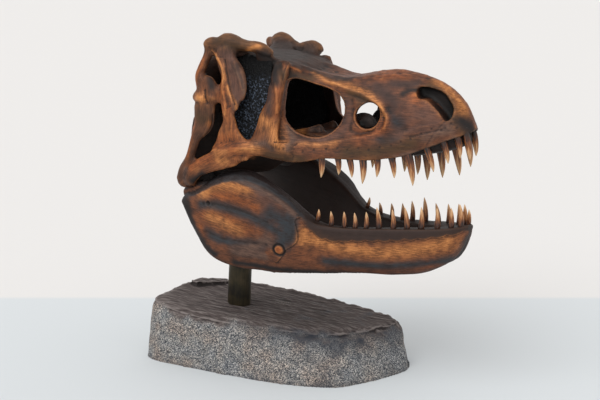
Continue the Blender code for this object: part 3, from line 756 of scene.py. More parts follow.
def dark_steel(settings):
    """Steel pipe with a dark bronze patina, drawn lengthways: satin with faint long streaks."""
    coat = Coat("dark_steel")
    place = coat.place()
    # die lines about 1.7 mm apart along the pipe, and cloudy patina about 20 mm across
    lines = coat.noise(coat.stretched(place, (600.0, 600.0, 9.0)), 1.0, 3.0)
    cloud = coat.noise(place, 50.0, 4.0)
    color = coat.ramp(coat.math("MULTIPLY_ADD", lines, 0.5, cloud), (0.55, "#211D17"),
                      (0.75, "#37301F"), (0.95, "#4A3E2C"))
    gloss = coat.span(cloud, 0.0, 1.0, 0.42, 0.62, "LINEAR")
    return coat.finish(color, gloss, 0.5, (lines, 0.25, 0.0003), 0.55)


def granite_cast(settings):
    """Granite-effect cast: grains about 1 mm across, and a purple-brown wash on the worn top."""
    coat = Coat("granite_cast")
    place = coat.place()
    top, stain, relief = (coat.attribute(name, "Fac") for name in ("top", "stain", "relief"))
    _, grain = coat.cells(place, 800.0)
    side = coat.ramp(grain, (0.0, "#2C2E33"), (0.25, "#5B5D61"), (0.55, "#858483"),
                     (0.8, "#A8A39E"), (1.0, "#D8D1C8"))
    # warm and blue-grey zones 40 mm across, and the darker blue-grey run-off from the top
    hue = coat.ramp(coat.noise(place, 24.0, 2.0), (0.36, "#B4C2D2"), (0.5, "#DAD9D8"),
                    (0.64, "#F0D6C4"))
    side = coat.mix(stain, coat.mix(0.5, side, hue, "MULTIPLY"), "#3A3D45")
    # bedding streaks about 3 mm wide and 36 mm long over the top, turned as its furrows are
    bed = coat.stretched(place, (28.0, 300.0, 300.0), -BEDDING_TURN)
    layers = coat.noise(bed, 1.0, 5.0, 0.65)
    wash = coat.ramp(coat.math("MULTIPLY_ADD", relief, 0.35, layers), (0.3, "#322D2C"),
                     (0.5, "#534A48"), (0.75, "#7F7774"))
    height = coat.add("Mix", {"data_type": "FLOAT"}, {0: top, 2: grain, 3: layers})[0]
    return coat.finish(coat.mix(top, side, wash), 0.9, 0.25, (height, 0.6, 0.0007))


def studio_paper(settings):
    """Matte white paper sweep: a cool floor near the object and a warmer one further back."""
    coat = Coat("studio_paper")
    away_from_camera = (-sin(CAMERA_TURN), cos(CAMERA_TURN), 0.0)
    away = coat.add("VectorMath", {"operation": "DOT_PRODUCT"},
                    {0: coat.place(), 1: away_from_camera})["Value"]
    back = coat.span(away, 0.38, 0.405)
    return coat.finish(coat.mix(back, settings.near_paper, settings.far_paper), 0.9, 0.1)


# ---- paint guides ----------------------------------------------------------------------------
# how much copper, gold, slate, and then olive, mauve and black each bone takes; the near-black of
# the bones inside the skull, quadrate, pterygoid, foot, palates and window boss, is partly their
# dark undercoat and partly painted shade
BONE_PAINT = {
    "jugal": (0.8, 0.2, 0.05, 0.15, 0.15, 0.0), "jugal_rise": (0.9, 0.25, 0.0, 0.0, 0.1, 0.0),
    "lacrimal": (0.65, 0.05, 0.0, 0.35, 0.1, 0.05), "horn": (0.3, 0.0, 0.3, 0.6, 0.1, 0.2),
    "brow": (0.5, 0.12, 0.1, 0.75, 0.0, 0.0), "postorbital": (0.4, 0.05, 0.2, 0.1, 0.6, 0.1),
    "rim": (1.0, 0.3, 0.0, 0.0, 0.1, 0.0), "squamosal": (0.7, 0.1, 0.1, 0.3, 0.0, 0.1),
    "quadratojugal": (0.5, 0.05, 0.2, 0.5, 0.0, 0.15), "condyle": (0.5, 0.0, 0.2, 0.2, 0.0, 0.3),
    "bridge": (0.3, 0.0, 0.4, 0.3, 0.1, 0.3), "quadrate": (0.1, 0.0, 0.1, 0.1, 0.0, 0.9),
    "pterygoid": (0.15, 0.0, 0.1, 0.2, 0.0, 0.85), "nape": (0.4, 0.05, 0.25, 0.25, 0.0, 0.4),
    "roof": (0.15, 0.0, 0.6, 0.15, 0.15, 0.3), "braincase": (0.45, 0.05, 0.2, 0.3, 0.0, 0.4),
    "knob": (0.6, 0.15, 0.15, 0.2, 0.0, 0.2), "foot": (0.1, 0.0, 0.1, 0.2, 0.0, 0.85),
    "palate": (0.05, 0.0, 0.25, 0.1, 0.0, 0.9), "snout": (0.8, 0.08, 0.08, 0.15, 0.22, 0.08),
    "window_boss": (0.0, 0.0, 0.1, 0.0, 0.0, 1.0), "palate_front": (0.0, 0.0, 0.1, 0.0, 0.0, 1.0),
}
# what each kind of stroke leaves: copper, gold, slate, olive, mauve, black; most are brushed
# paint, and a few grey, dark and black strokes are painted highlights and painted shade
MIXES = {
    "copper": (1.0, 0.15, 0, 0, 0, 0), "bright": (1.0, 0.8, 0, 0, 0, 0),
    "rust": (0.95, 0.08, 0, 0.05, 0.1, 0.05), "mauve": (0.5, 0.05, 0.1, 0, 0.65, 0.05),
    "olive": (0.3, 0.05, 0, 0.9, 0, 0.15), "slate": (0.05, 0, 0.95, 0, 0, 0.4),
    "grey": (0.2, 0.15, 0.6, 0, 0.5, 0), "dark": (0.05, 0, 0.4, 0.1, 0, 0.85),
    "dusk": (0.3, 0, 0.2, 0.1, 0.5, 0.4), "black": (0.12, 0, 0.05, 0, 0, 0.92),
}
# brush strokes on the side of the skull, with a few painted highlights and painted shade marked
# among them: kind, half width, line of x z
SKULL_STROKES = [
    ("mauve", 16, [(248, 437), (267, 419), (283, 410)]),
    ("slate", 11, [(214, 426), (222, 413), (235, 404)]),
    ("copper", 10, [(225, 468), (242, 453), (254, 442)]),
    ("dusk", 12, [(174, 466), (200, 453), (222, 434)]),
    ("rust", 13, [(171, 475), (211, 476), (245, 471)]),
    ("dark", 4, [(232, 449), (246, 455), (262, 452)]),
    ("dusk", 8, [(150, 436), (146, 418), (152, 402)]),
    ("slate", 8, [(196, 388), (214, 382), (232, 386)]),
    ("rust", 8, [(286, 452), (300, 438), (308, 424)]),
    ("dusk", 7, [(214, 462), (232, 462), (250, 464)]),
    ("bright", 8, [(275, 466), (304, 448), (320, 422)]),
    ("olive", 6, [(265, 461), (289, 449), (306, 430)]),
    ("olive", 9, [(309, 416), (321, 404), (327, 395)]),
    ("dark", 7, [(318, 414), (329, 403), (334, 395)]),
    ("grey", 8, [(305, 401), (290, 397), (272, 391)]),
    ("mauve", 10, [(229, 391), (253, 399), (278, 401)]),
    ("olive", 13, [(157, 363), (197, 365), (229, 371), (254, 379)]),
    ("grey", 3.5, [(232, 359), (266, 368), (293, 379), (312, 389)]),
    ("bright", 6, [(90, 375), (119, 374), (139, 377)]),
    ("mauve", 6, [(84, 380), (116, 378), (143, 387), (156, 404), (155, 423)]),
    ("rust", 10, [(206, 422), (212, 408), (200, 392), (178, 381)]),
    ("dark", 8, [(20, 500), (40, 494), (89, 479), (147, 470)]),
    ("dark", 6, [(62, 484), (95, 474), (135, 465)]),
    ("olive", 10, [(157, 449), (180, 438)]),
    ("bright", 3.5, [(88, 474), (112, 464), (134, 460), (160, 455), (185, 446), (203, 431),
                     (210, 417)]),
    ("copper", 6, [(36, 490), (56, 482), (80, 474)]),
    ("olive", 8, [(42, 480), (61, 470), (88, 466)]),
    ("dark", 8, [(31, 495), (40, 480), (44, 464)]),
    ("copper", 5, [(53, 450), (57, 432), (58, 414)]),
    # painted highlight: a thin pale line along the rear edge of the antorbital window
    ("grey", 2.5, [(63, 440), (63, 425), (65, 410)]),
    ("dusk", 5, [(38, 464), (41, 442), (44, 418)]),
    ("bright", 10, [(34, 406), (49, 396), (61, 380), (66, 368)]),
    ("grey", 5, [(70, 397), (79, 380), (77, 364)]),
    # painted highlight: pale grey on the front of the jugal
    ("grey", 5, [(32, 368), (44, 372), (54, 363)]),
    ("olive", 10, [(46, 356), (68, 351), (93, 349)]),
    ("bright", 6, [(10, 366), (25, 363), (33, 361)]),
    ("copper", 12, [(-41, 357), (-19, 374), (1, 363)]),
    ("bright", 5, [(-41, 350), (-31, 343), (-19, 342)]),
    ("copper", 8, [(-83, 328), (-69, 338), (-45, 346)]),
    ("grey", 3.5, [(-92, 325), (-95, 311), (-92, 299)]),
    # painted shade: dark in the inner curl of the quadratojugal
    ("dark", 6, [(-82, 306), (-63, 318)]),
    ("mauve", 11, [(-21, 489), (-6, 466), (2, 445)]),
    ("grey", 3.5, [(-15, 483), (1, 461), (6, 443)]),
    ("copper", 7, [(-38, 465), (-28, 439), (-19, 422)]),
    ("bright", 3, [(-60, 505), (-46, 494), (-35, 478), (-30, 462)]),
    ("bright", 3, [(-24, 454), (-17, 439), (-7, 427), (-3, 418)]),
    ("olive", 10, [(-46, 520), (-20, 514), (-3, 508)]),
    # painted shade: black under the brow, above the eye socket
    ("black", 11, [(-2, 490), (12, 494), (27, 482)]),
    ("bright", 4, [(-3, 503), (7, 510), (19, 513)]),
    ("copper", 6, [(-70, 490), (-81, 467), (-84, 448)]),
    ("black", 7, [(-60, 488), (-54, 468), (-49, 452)]),
    ("bright", 7, [(-72, 435), (-63, 434)]), ("copper", 5, [(-52, 400), (-49, 393)]),
    ("olive", 8, [(-70, 404), (-57, 404)]),
    ("black", 5, [(-40, 407), (-47, 387), (-58, 367), (-65, 357)]),
    ("copper", 6, [(-80, 397), (-86, 369), (-89, 346)]),
]
# brush strokes on the side of the jaw, with one painted highlight marked among them
JAW_STROKES = [
    ("copper", 16, [(-60, 262), (-20, 262), (20, 250)]),
    ("mauve", 18, [(27, 296), (50, 284), (70, 262)]),
    ("bright", 11, [(-63, 288), (-41, 300), (-14, 307), (16, 303)]),
    ("copper", 10, [(-39, 286), (-5, 286), (30, 274)]),
    ("slate", 9, [(-65, 272), (-35, 272), (4, 266), (44, 252), (66, 240)]),
    ("bright", 9, [(-48, 254), (-28, 248), (0, 238)]),
    ("slate", 9, [(-60, 229), (-30, 219), (4, 216), (37, 217)]),
    ("grey", 7, [(-13, 202), (13, 200), (37, 199)]),
    ("copper", 8, [(-69, 236), (-63, 213), (-46, 192)]),
    ("dark", 7, [(-99, 270), (-95, 253), (-86, 231)]),
    ("bright", 11, [(98, 236), (139, 224), (197, 217), (255, 223), (306, 236)]),
    ("slate", 7, [(129, 198), (209, 195), (268, 202), (307, 208)]),
    ("rust", 6, [(176, 182), (236, 186), (291, 198)]),
    ("dark", 6, [(-58, 309), (-11, 322), (30, 313), (76, 289), (96, 270)]),
    ("slate", 13, [(56, 266), (76, 256), (78, 238), (68, 222)]),
    ("slate", 8, [(84, 262), (86, 246), (84, 232)]),
    ("grey", 9, [(50, 226), (20, 212), (-6, 208)]),
    ("dark", 9, [(-102, 276), (-92, 257), (-86, 235), (-68, 211), (-48, 193)]),
    # painted highlight: pale blue-grey along the top edge of the jaw
    ("grey", 3.5, [(-58, 304), (-11, 316), (24, 309), (60, 292), (90, 268)]),
    ("dark", 5, [(-17, 183), (40, 179), (110, 177), (180, 176)]),
    ("bright", 5, [(96, 226), (101, 244)]),
]
# folds and furrows on the side of the skull and of the jaw: height, half width, line of x z
SKULL_CREASES = [
    (1.2, 2.2, [(-58, 505), (-43, 491), (-33, 471), (-31, 447), (-24, 427), (-23, 412)]),
    (-1.6, 1.8, [(-32, 492), (-26, 470), (-19, 448), (-9, 428)]),
    (0.8, 1.6, [(-16, 489), (-6, 469), (2, 449)]),
    (2.2, 6, [(-45, 359), (-28, 354), (-6, 359), (23, 364)]),
    (3.0, 5.5, [(-70, 435), (-65, 434)]), (1.6, 4, [(-50, 436), (-45, 435)]),
    (-2.2, 1.9, [(-59, 446), (-57, 437), (-54, 428)]),
    (-4.0, 4, [(-42, 408), (-47, 387), (-58, 367), (-65, 357)]),
    (1.4, 2.2, [(48, 459), (55, 438), (57, 418)]),
    (-1.8, 2, [(36, 493), (33, 472), (40, 458)]),
    (-1.2, 1.2, [(59, 375), (72, 375)]), (-1.0, 3, [(160, 400), (162, 421), (159, 438)]),
    (-1.6, 4, [(161, 395), (177, 390), (193, 396)]),
    (-1.4, 7, [(214, 428), (225, 409), (241, 401)]),
    (0.9, 3, [(243, 394), (264, 402), (291, 409), (307, 412)]),
    (-0.9, 2, [(251, 389), (272, 395), (299, 403)]),
    (0.9, 5, [(178, 463), (215, 467), (251, 462)]),
]
JAW_CREASES = [
    (1.6, 7, [(-61, 291), (-41, 301), (-14, 308), (14, 304), (40, 290)]),
    (-1.7, 5, [(-61, 274), (-28, 274), (11, 267), (47, 255)]),
    (1.4, 7, [(-54, 255), (-24, 249), (7, 238)]),
    (-1.5, 4, [(-58, 230), (-26, 222), (13, 219), (44, 219)]),
    (1.0, 5, [(-48, 205), (-6, 200), (30, 199)]),
]
# lower edge of the dark gum band under the lower teeth: x z
GUM_EDGE = [(98, 262), (112, 246), (127, 234), (149, 231), (187, 234), (230, 237), (276, 243),
            (300, 247), (330, 254)]


def frames_along(name, rows, steps):
    """Centres, directions and half sizes along a bar, as arrays."""
    fine = np.array(smooth_rows(rows, steps))
    centre = fine[:, :3]
    along = np.gradient(centre, axis=0)
    along /= np.linalg.norm(along, axis=1)[:, None]
    out = np.array(BAR_OUT.get(name, USUAL_OUT), float)
    normal = out - along * (along @ out)[:, None]
    normal /= np.linalg.norm(normal, axis=1)[:, None]
    run = np.concatenate([[0], np.cumsum(np.linalg.norm(np.diff(centre, axis=0), axis=1))])
    return centre, along, np.cross(along, normal), normal, fine[:, 3:5] / 2, run


def bone_paint(co):
    """The grain of each place, from the bar it lies on, and how much of each paint it takes."""
    folded = co.copy()
    folded[:, 1] = np.abs(folded[:, 1])
    best = np.exp(-1.5) * (0.02 + soft_step(40, 75, co[:, 0]))
    total = best.copy()
    paint = best[:, None] * np.array(BONE_PAINT["snout"])
    grain = np.stack([folded[:, 0], folded[:, 2], folded[:, 1]], axis=1)
    bars = {**FACE_BARS, **MIDDLE_BARS, "brow": BROW_RIGHT}
    for number, (name, rows) in enumerate(bars.items()):
        centre, along, across, normal, half, run = frames_along(name, rows, 4)
        nearest = np.zeros(len(co), int)
        least = np.full(len(co), 1e9)
        for k, spot in enumerate(centre):
            far = ((folded - spot) ** 2).sum(1)
            closer = far < least
            least[closer] = far[closer]
            nearest[closer] = k
        offset = folded - centre[nearest]
        s = (offset * along[nearest]).sum(1)
        u = (offset * across[nearest]).sum(1)
        v = (offset * normal[nearest]).sum(1)
        reach = np.sqrt((u / half[nearest, 0]) ** 2 + (v / half[nearest, 1]) ** 2
                        + (s / 10.0) ** 2)
        weight = np.exp(-1.5 * reach ** 2)
        total += weight
        paint += weight[:, None] * np.array(BONE_PAINT[name])
        leads = weight > best
        best[leads] = weight[leads]
        own = np.stack([run[nearest] + s + GRAIN_PER_BAR * number, u, v], axis=1)
        grain[leads] = own[leads]
    grain[:, 2] += np.where(co[:, 1] < 0, GRAIN_PER_SIDE, 0.0)
    return grain, paint / total[:, None]


def hill(distance, width):
    """1 on a line and almost 0 at twice the width from it."""
    return np.exp(-(distance / width) ** 2)


def near_line(flat, line):
    return line_distance(flat, smooth_rows(line, 3))


def facing_out(co, normal, low, high):
    """How far each place faces away from the middle plane, from 0 to 1."""
    return soft_step(low, high, normal[:, 1] * np.where(co[:, 1] < 0, -1.0, 1.0))


def covered(paint, kind, amount):
    """The paint under another mix, as much of it as the amount of each place."""
    amount = amount[:, None]
    return paint * (1 - amount) + np.array(MIXES[kind]) * amount


def brushed(paint, co, facing, strokes):
    """Lay one stroke after another along lines on the side of a bone; a few are painted highlights
    and painted shade, the rest brushed paint.
    """
    wander = 1 + 0.35 * rough(co, 9, 21) + 0.25 * rough(co, 3.5, 22)
    for kind, half, line in strokes:
        far = near_line(co[:, (0, 2)], line) / (half * wander)
        paint = covered(paint, kind, np.exp(-far ** 2) * facing)
    return paint


def creased(push, flat, facing, creases):
    """Add folds and furrows to how far the places of a bone are pushed out."""
    for height, half, line in creases:
        push += height * hill(near_line(flat, line), half) * facing


def store_paint(obj, co, normal, grain, paint):
    """Keep the paint: more gold on the raised places, and little brushed on the sunken ones."""
    fine = raised_edges(obj, co, normal, 4, 0.3)
    broad = raised_edges(obj, co, normal, 40, 2.2)
    raised = soft_step(0.4, 1.0, fine)
    sunken = np.maximum(soft_step(0.15, 0.9, -fine), 0.8 * soft_step(0.2, 0.9, -broad))
    paint[:, 1] += 0.3 * raised * paint[:, 0]
    paint[:, :5] *= 1 - 0.55 * sunken[:, None]
    paint[:, 5] += 0.35 * sunken
    paint = np.clip(paint, 0, 1.2)
    store(obj, "grain", grain)
    store(obj, "tint", paint[:, :3])
    store(obj, "wash", paint[:, 3:])
    # the third value, how open each place is, drives the painted shade of the bones
    store(obj, "relief", np.stack([fine, broad, openness(obj)], axis=1))


def ridden(obj, slot, mat, *nodes):
    """Give a finished piece its material and its body, and hide the parts of model.glb it stands
    for. The slot is not used.
    """
    obj.data.materials.clear()
    obj.data.materials.append(mat)
    only(obj)
    bpy.ops.object.shade_smooth()
    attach(obj, BODY)
    if nodes:
        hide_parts(*nodes)
    return obj


# ---- the skull -------------------------------------------------------------------------------
def whole_section(x, half):
    """A closed section from its left half, rounded, listed from the middle below upwards."""
    right = [(x, -y, z) for y, z in reversed(half[1:-1])]
    return smooth_rows([(x, y, z) for y, z in half] + right, 3, closed=True)


def snout_outside():
    """The snout as a closed body."""
    rings = []
    for x, my, mz, ly, lz, sy, sz, ry, rz, ey, ez, top in smooth_rows(SNOUT, 6):
        vault = min(18.0, my * 0.5)
        half = [(0, mz + vault * 0.8), (my * 0.55, mz + vault * 0.6), (my * 0.86, mz + 2), (my, mz),
                (ly, lz), ((ly + sy) / 2 - 1, (lz + sz) / 2), (sy, sz), (ry, rz), (ey, ez),
                (ey * 0.5, (ez + top * 2) / 3), (0, top)]
        rings.append(whole_section(x, half))
    return skin("snout_outside", rings)


def snout_hollow():
    """What is taken out of the snout behind the front of its hollow."""
    wall = SNOUT_WALL
    rows = [row for row in smooth_rows(SNOUT, 4) if row[0] <= CAVITY_FRONT]
    rings = []
    for x, _, mz, ly, lz, sy, sz, ry, rz, ey, ez, top in rows:
        half = [(0, mz + 20), (ly - wall * 1.6, mz + 20), (ly - wall * 1.2, lz + 8),
                (sy - wall, sz), (ry - wall, rz - 6), (ey - wall, ez - wall * 1.5),
                (0, top - wall * 1.5)]
        rings.append(whole_section(x - 4, half))
    return skin("snout_hollow", rings)


def window_cutter(name, outline, low, high):
    """A body with an outline on the side of the skull, between two distances from the middle."""
    fine = smooth_rows(outline, 5, closed=True)
    return skin(name, [[(x, y, z) for x, z in fine] for y in (low, high)])


def snout():
    """The snout with its hollow, windows and nostrils cut out."""
    body = snout_outside()
    cut(body, snout_hollow())
    cut(body, window_cutter("antorbital", ANTORBITAL, -130, 130))
    x, z, radius = MAXILLARY
    circle = [(x + radius * cos(2 * pi * k / 12), z + radius * sin(2 * pi * k / 12))
              for k in range(12)]
    cut(body, window_cutter("maxillary", circle, -100, 100))
    for low, high in ((NOSTRIL_FLOOR, 60), (-60, -NOSTRIL_FLOOR)):
        cut(body, window_cutter("nostril", NOSTRIL_OUTLINE, low, high))
    return body


# heights: the broad relief ends at one, the knobbly one of upper faces begins at the next, and
# the painted shade of the inside fades in downwards between the last two
EVEN_ABOVE = 495
KNOBBLY_ABOVE = 425
UNDER_ROOF = (498, 474)
# the dark crown: its height, how far forward it reaches, and how wide it is
CROWN_HEIGHT = (464, 474)
CROWN_FRONT = (120, 70)
CROWN_SIDE = (75, 60)
# where the painted shade inside the mouth, above the upper teeth, begins, from back to front
GUMS_BACK = (150, 200)


def sculpt_skull(obj):
    """Press the relief of the bones into the fused skin, inside the box of the solids."""
    co, normal = places(obj)
    flat = co[:, (0, 2)]
    facing = facing_out(co, normal, 0.15, 0.6)
    grain, _ = bone_paint(co)
    push = 0.8 * rough(co, 24, 1) * (co[:, 2] < EVEN_ABOVE)
    push += 0.22 * rough(grain, (34, 3.6, 9), 2)
    push += 0.1 * rough(grain, (20, 2.2, 6), 3)
    fossa = depth_inside(flat, smooth_rows(FOSSA, 3, closed=True))
    push -= 2.6 * soft_step(-1, 6, fossa) * facing
    push += 1.6 * hill(near_line(flat, FOSSA_RIDGE), 3.6) * facing
    creased(push, flat, facing, SKULL_CREASES)
    for line in SKULL_SUTURES:
        push -= 0.5 * hill(near_line(flat, line), 1.6) * facing
    for x, z in LIP_PITS:
        push -= 0.9 * hill(np.hypot(flat[:, 0] - x, flat[:, 1] - z), 1.5) * facing
    knobbly = soft_step(0.2, 0.8, normal[:, 2]) * (co[:, 2] > KNOBBLY_ABOVE)
    push += 0.5 * rough(co, 7, 4) * knobbly
    low, high = (np.array(corner) / MM for corner in CAD_BOUNDS)
    move_to(obj, np.clip(co + normal * push[:, None], low + BOX_MARGIN, high - BOX_MARGIN))


def cranium(settings):
    """All bones of the upper skull as one skin with its relief."""
    sided = [bar(name, rows) for name, rows in FACE_BARS.items()]
    both = sided + [mirrored(obj) for obj in sided]
    middle = [bar(name, rows) for name, rows in MIDDLE_BARS.items()]
    middle += [bar("brow", BROW_LEFT), across(bar("brow", BROW_RIGHT))]
    body = webbed(joined("cranium", [snout()] + middle + both), settings.bone_grid,
                  settings.fillet, 2)
    sculpt_skull(body)
    return thinned(body, settings.skull_triangles)


def paint_skull(obj):
    """Brush the outside of the skull and paint its crown dark. Its inside, underside, nostrils
    and the mouth above the upper teeth are painted black as painted shade.
    """
    co, normal = places(obj)
    facing = facing_out(co, normal, 0.0, 0.5)
    from_middle = np.abs(co[:, 1])
    grain, paint = bone_paint(co)
    paint = brushed(paint, co, facing, SKULL_STROKES)
    # painted shade: black on inner faces away from the middle, below the roof
    inner_shade = facing_out(co, -normal, 0.1, 0.6) * soft_step(10, 30, from_middle)
    inner_shade *= soft_step(*UNDER_ROOF, co[:, 2])
    # painted shade: black on faces that look down, within about 50 mm of the middle
    below = soft_step(0.3, 0.8, -normal[:, 2]) * soft_step(20, 8, from_middle - 40)
    # painted shade: black deep in the nostrils
    nostril = depth_inside(co[:, (0, 2)], smooth_rows(NOSTRIL_OUTLINE, 3, closed=True))
    deep = np.maximum(soft_step(0.9, 0.6, facing), from_middle < NOSTRIL_FLOOR + 3)
    lips = np.array([row[:3] for row in SNOUT], float)
    behind = np.interp(co[:, 0], lips[:, 0], lips[:, 1]) - from_middle
    above = co[:, 2] - np.interp(co[:, 0], lips[:, 0], lips[:, 2])
    # painted shade: black in the mouth, just behind the lips and above the upper teeth
    gums = soft_step(1, 4, behind) * soft_step(8, 3, above) * soft_step(*GUMS_BACK, co[:, 0])
    nostril_and_mouth_shade = np.maximum(soft_step(-1.0, 0.8, nostril) * deep, gums)
    crown = soft_step(0.4, 0.8, normal[:, 2]) * soft_step(*CROWN_HEIGHT, co[:, 2])
    crown = crown * soft_step(*CROWN_FRONT, co[:, 0]) * soft_step(*CROWN_SIDE, from_middle)
    # all of this is painted shade except the crown, which is the skull's own dark paint
    shade_and_crown = np.maximum(np.maximum(0.9 * inner_shade, 0.6 * below), np.maximum(nostril_and_mouth_shade, 0.6 * crown))
    store_paint(obj, co, normal, grain, covered(paint, "black", shade_and_crown))


def eye_sockets(settings):
    """The closed back of both eye sockets, covered in grit."""
    left = bar("eye_wall", EYE_WALL)
    body = fused(joined("eye_sockets", [left, mirrored(left)]), settings.bone_grid * 1.2, 1)
    co, normal = places(body)
    push = -0.6 + 0.7 * rough(co, 2.6, 5) + 0.5 * rough(co, 9, 6)
    move_to(body, co + normal * push[:, None])
    # painted highlight: glints only on grit that faces out, with painted shade under the brow, where
    # they fade out upwards
    outer = soft_step(0.0, 0.4, normal[:, 1] * np.sign(co[:, 1]))
    store(body, "painted_glint", outer * soft_step(484, 462, co[:, 2] + 6 * rough(co, 8, 7)))
    return body


# ---- teeth -----------------------------------------------------------------------------------
def model_tooth():
    """One recurved tooth, 1 long and up to 1 wide, its root at the origin and its tip up."""
    bpy.ops.object.select_all(action="DESELECT")
    bpy.ops.mesh.primitive_cylinder_add(vertices=TOOTH_SIDES, radius=0.5,
                                        depth=1 + TOOTH_BURIED,
                                        location=(0, 0, (1 - TOOTH_BURIED) / 2))
    tooth = bpy.context.object
    bpy.ops.object.transform_apply(location=True, rotation=False, scale=False)
    bpy.ops.object.mode_set(mode="EDIT")
    work = bmesh.from_edit_mesh(tooth.data)
    upright = [e for e in work.edges if abs(e.verts[0].co.z - e.verts[1].co.z) > 0.5]
    bmesh.ops.subdivide_edges(work, edges=upright, cuts=TOOTH_CUTS)
    bmesh.update_edit_mesh(tooth.data)
    bpy.ops.object.mode_set(mode="OBJECT")
    co, _ = places(tooth)
    co *= MM
    height = np.clip(co[:, 2], -TOOTH_BURIED, 1.0)
    up = np.clip((height - 0.1) / 0.9, 0, 1)
    size = np.maximum(1 - 0.55 * up ** 1.4 - 0.40 * up ** 5, 0.07)
    size *= np.where(height < 0, 0.94, 1.0)
    co[:, 0] *= size
    co[:, 1] *= size
    co[:, 0] += TOOTH_SWELL * 4 * np.clip(height, 0, 1) * (1 - np.clip(height, 0, 1))
    move_to(tooth, co / MM)
    store(tooth, "crown", np.stack([height, np.arctan2(co[:, 1], co[:, 0] + 1e-6), height * 0],
                                   axis=1))
    return tooth


def place_teeth(name, rows):
    """Copies of one tooth from each root to its tip; rows hold root, tip and width."""
    model = model_tooth()
    teeth = []
    for number, (root, tip, wide) in enumerate(rows):
        tooth = model.copy()
        tooth.data = model.data.copy()
        bpy.context.collection.objects.link(tooth)
        root, tip = Vector(root), Vector(tip)
        shape = Matrix(((wide, 0, (tip - root).x, root.x), (0, wide * TOOTH_FLATNESS, 0, root.y),
                        (0, 0, (tip - root).z, root.z), (0, 0, 0, 1)))
        tooth.data.transform(Matrix.Scale(MM, 4) @ shape)
        crown = tooth.data.attributes["crown"]
        for value in crown.data:
            value.vector[2] = number * CROWN_SHIFT
        teeth.append(outward(tooth))
    bpy.data.objects.remove(model, do_unlink=True)
    return joined(name, teeth)


def set_teeth(name, tables, bone, inset, least, sunk, up, girth):
    """Teeth of the right and the left side along the margin of a bone.

    They stand inset from the margin, though at least so far from the middle, with their roots
    sunk into it. Up is 1 for teeth that point up, and girth gives their width for their length.
    """
    rows = []
    for side, table in zip((-1, 1), tables):
        for x, lean, length in table:
            row = row_at(bone, x)
            y = side * max(row[1] - inset, least)
            margin = row[2] + (row[10] if up > 0 and side < 0 else 0.0)
            rows.append(((x, y, margin - up * sunk), (x + lean, y, margin + up * length),
                         girth[0] + girth[1] * length))
    return place_teeth(name, rows)


# ---- the lower jaw ---------------------------------------------------------------------------
# round marks on the jaw: x, z and radius
PLUG = (64, 212, 8.5)
PORE = (-53, 275, 4.5)
# the rear edge of the dentary, and the outline of the bone behind it
DENTARY_STEP = [(98, 265), (90, 259), (92, 245), (93, 229), (84, 219), (73, 211), (66, 200),
                (58, 192)]
PLATE_BEHIND = smooth_rows(DENTARY_STEP, 3) + [(40, 180), (20, 230), (60, 280)]
JAW_PAINT = (0.75, 0.1, 0.1, 0.15, 0.15, 0.05)
# from where to where the gum band fades in, and the slate on the crest behind it fades out
GUM_BAND_BACK = (92, 112)
CREST_FRONT = (125, 95)
# length of the scallops of the gum band, and how deep they are
SCALLOP = 19.0
SCALLOP_DEPTH = 2.4


def jaw_half(side):
    """One half of the jaw with the bone of its hinge; the right one stands a little higher."""
    rings = []
    for x, ty, tz, cy, cz, wy, wz, by, bz, iy, lift in smooth_rows(JAW, 5):
        inner = max(iy, -0.6)
        if side < 0:
            tz += lift
            cz += lift
        high = tz - bz
        ring = [(inner, tz - 0.07 * high), ((inner + ty) / 2, tz - 0.01 * high), (ty, tz),
                (cy, cz), (wy, wz), (wy * 0.75 + by * 0.25, wz * 0.45 + bz * 0.55), (by, bz),
                ((by + inner) / 2, bz + 0.02 * high), (inner, bz + 0.1 * high),
                (inner, bz + 0.5 * high)]
        rings.append(smooth_rows([(x, y, z) for y, z in ring], 3, closed=True))
    half = joined("jaw_half", [skin("jaw", rings), bar("articular", ARTICULAR)])
    return half if side > 0 else across(half)


def jaw_grain(co):
    """Along the jaw the brush runs down and forward behind the dentary, and level in front."""
    slope = 0.24 * (1 - soft_step(60, 120, co[:, 0]))
    across = co[:, 2] + slope * (co[:, 0] - 60)
    inwards = np.abs(co[:, 1]) + np.where(co[:, 1] < 0, GRAIN_PER_SIDE, 0)
    return np.stack([co[:, 0], across, inwards], axis=1)


def above_gum_edge(flat):
    """How far each place lies above the scalloped lower edge of the gum band."""
    edge = np.array(GUM_EDGE, float)
    scallop = SCALLOP_DEPTH * np.abs(np.sin(flat[:, 0] * pi / SCALLOP))
    return flat[:, 1] - np.interp(flat[:, 0], edge[:, 0], edge[:, 1]) + scallop


def along_gums(co):
    """The length of the jaw that has the gum band."""
    return soft_step(*GUM_BAND_BACK, co[:, 0])


def sculpt_jaw(obj):
    """Press the furrows, the gum band, the edge of the dentary, the plug and the pore in."""
    co, normal = places(obj)
    flat = co[:, (0, 2)]
    facing = facing_out(co, normal, 0.15, 0.6)
    grain = jaw_grain(co)
    push = 0.6 * rough(co, 22, 11)
    push += 0.2 * rough(grain, (50, 4.0, 12), 12) + 0.1 * rough(grain, (30, 2.4, 9), 13)
    creased(push, flat, facing, JAW_CREASES)
    push += 1.2 * soft_step(-1.5, 0.5, above_gum_edge(flat)) * facing * along_gums(co)
    plate = np.where(inside(flat, PLATE_BEHIND), 0.7, -0.7)
    push += plate * soft_step(9, 0, near_line(flat, DENTARY_STEP)) * facing
    x, z, radius = PLUG
    push -= 2.4 * hill(np.hypot(flat[:, 0] - x, flat[:, 1] - z) - radius, 2.0) * facing
    x, z, radius = PORE
    far = np.hypot(flat[:, 0] - x, flat[:, 1] - z)
    push -= 2.6 * hill(far, radius * 0.7) * facing
    push += 0.8 * hill(far - radius, 1.6) * facing
    move_to(obj, co + normal * push[:, None])


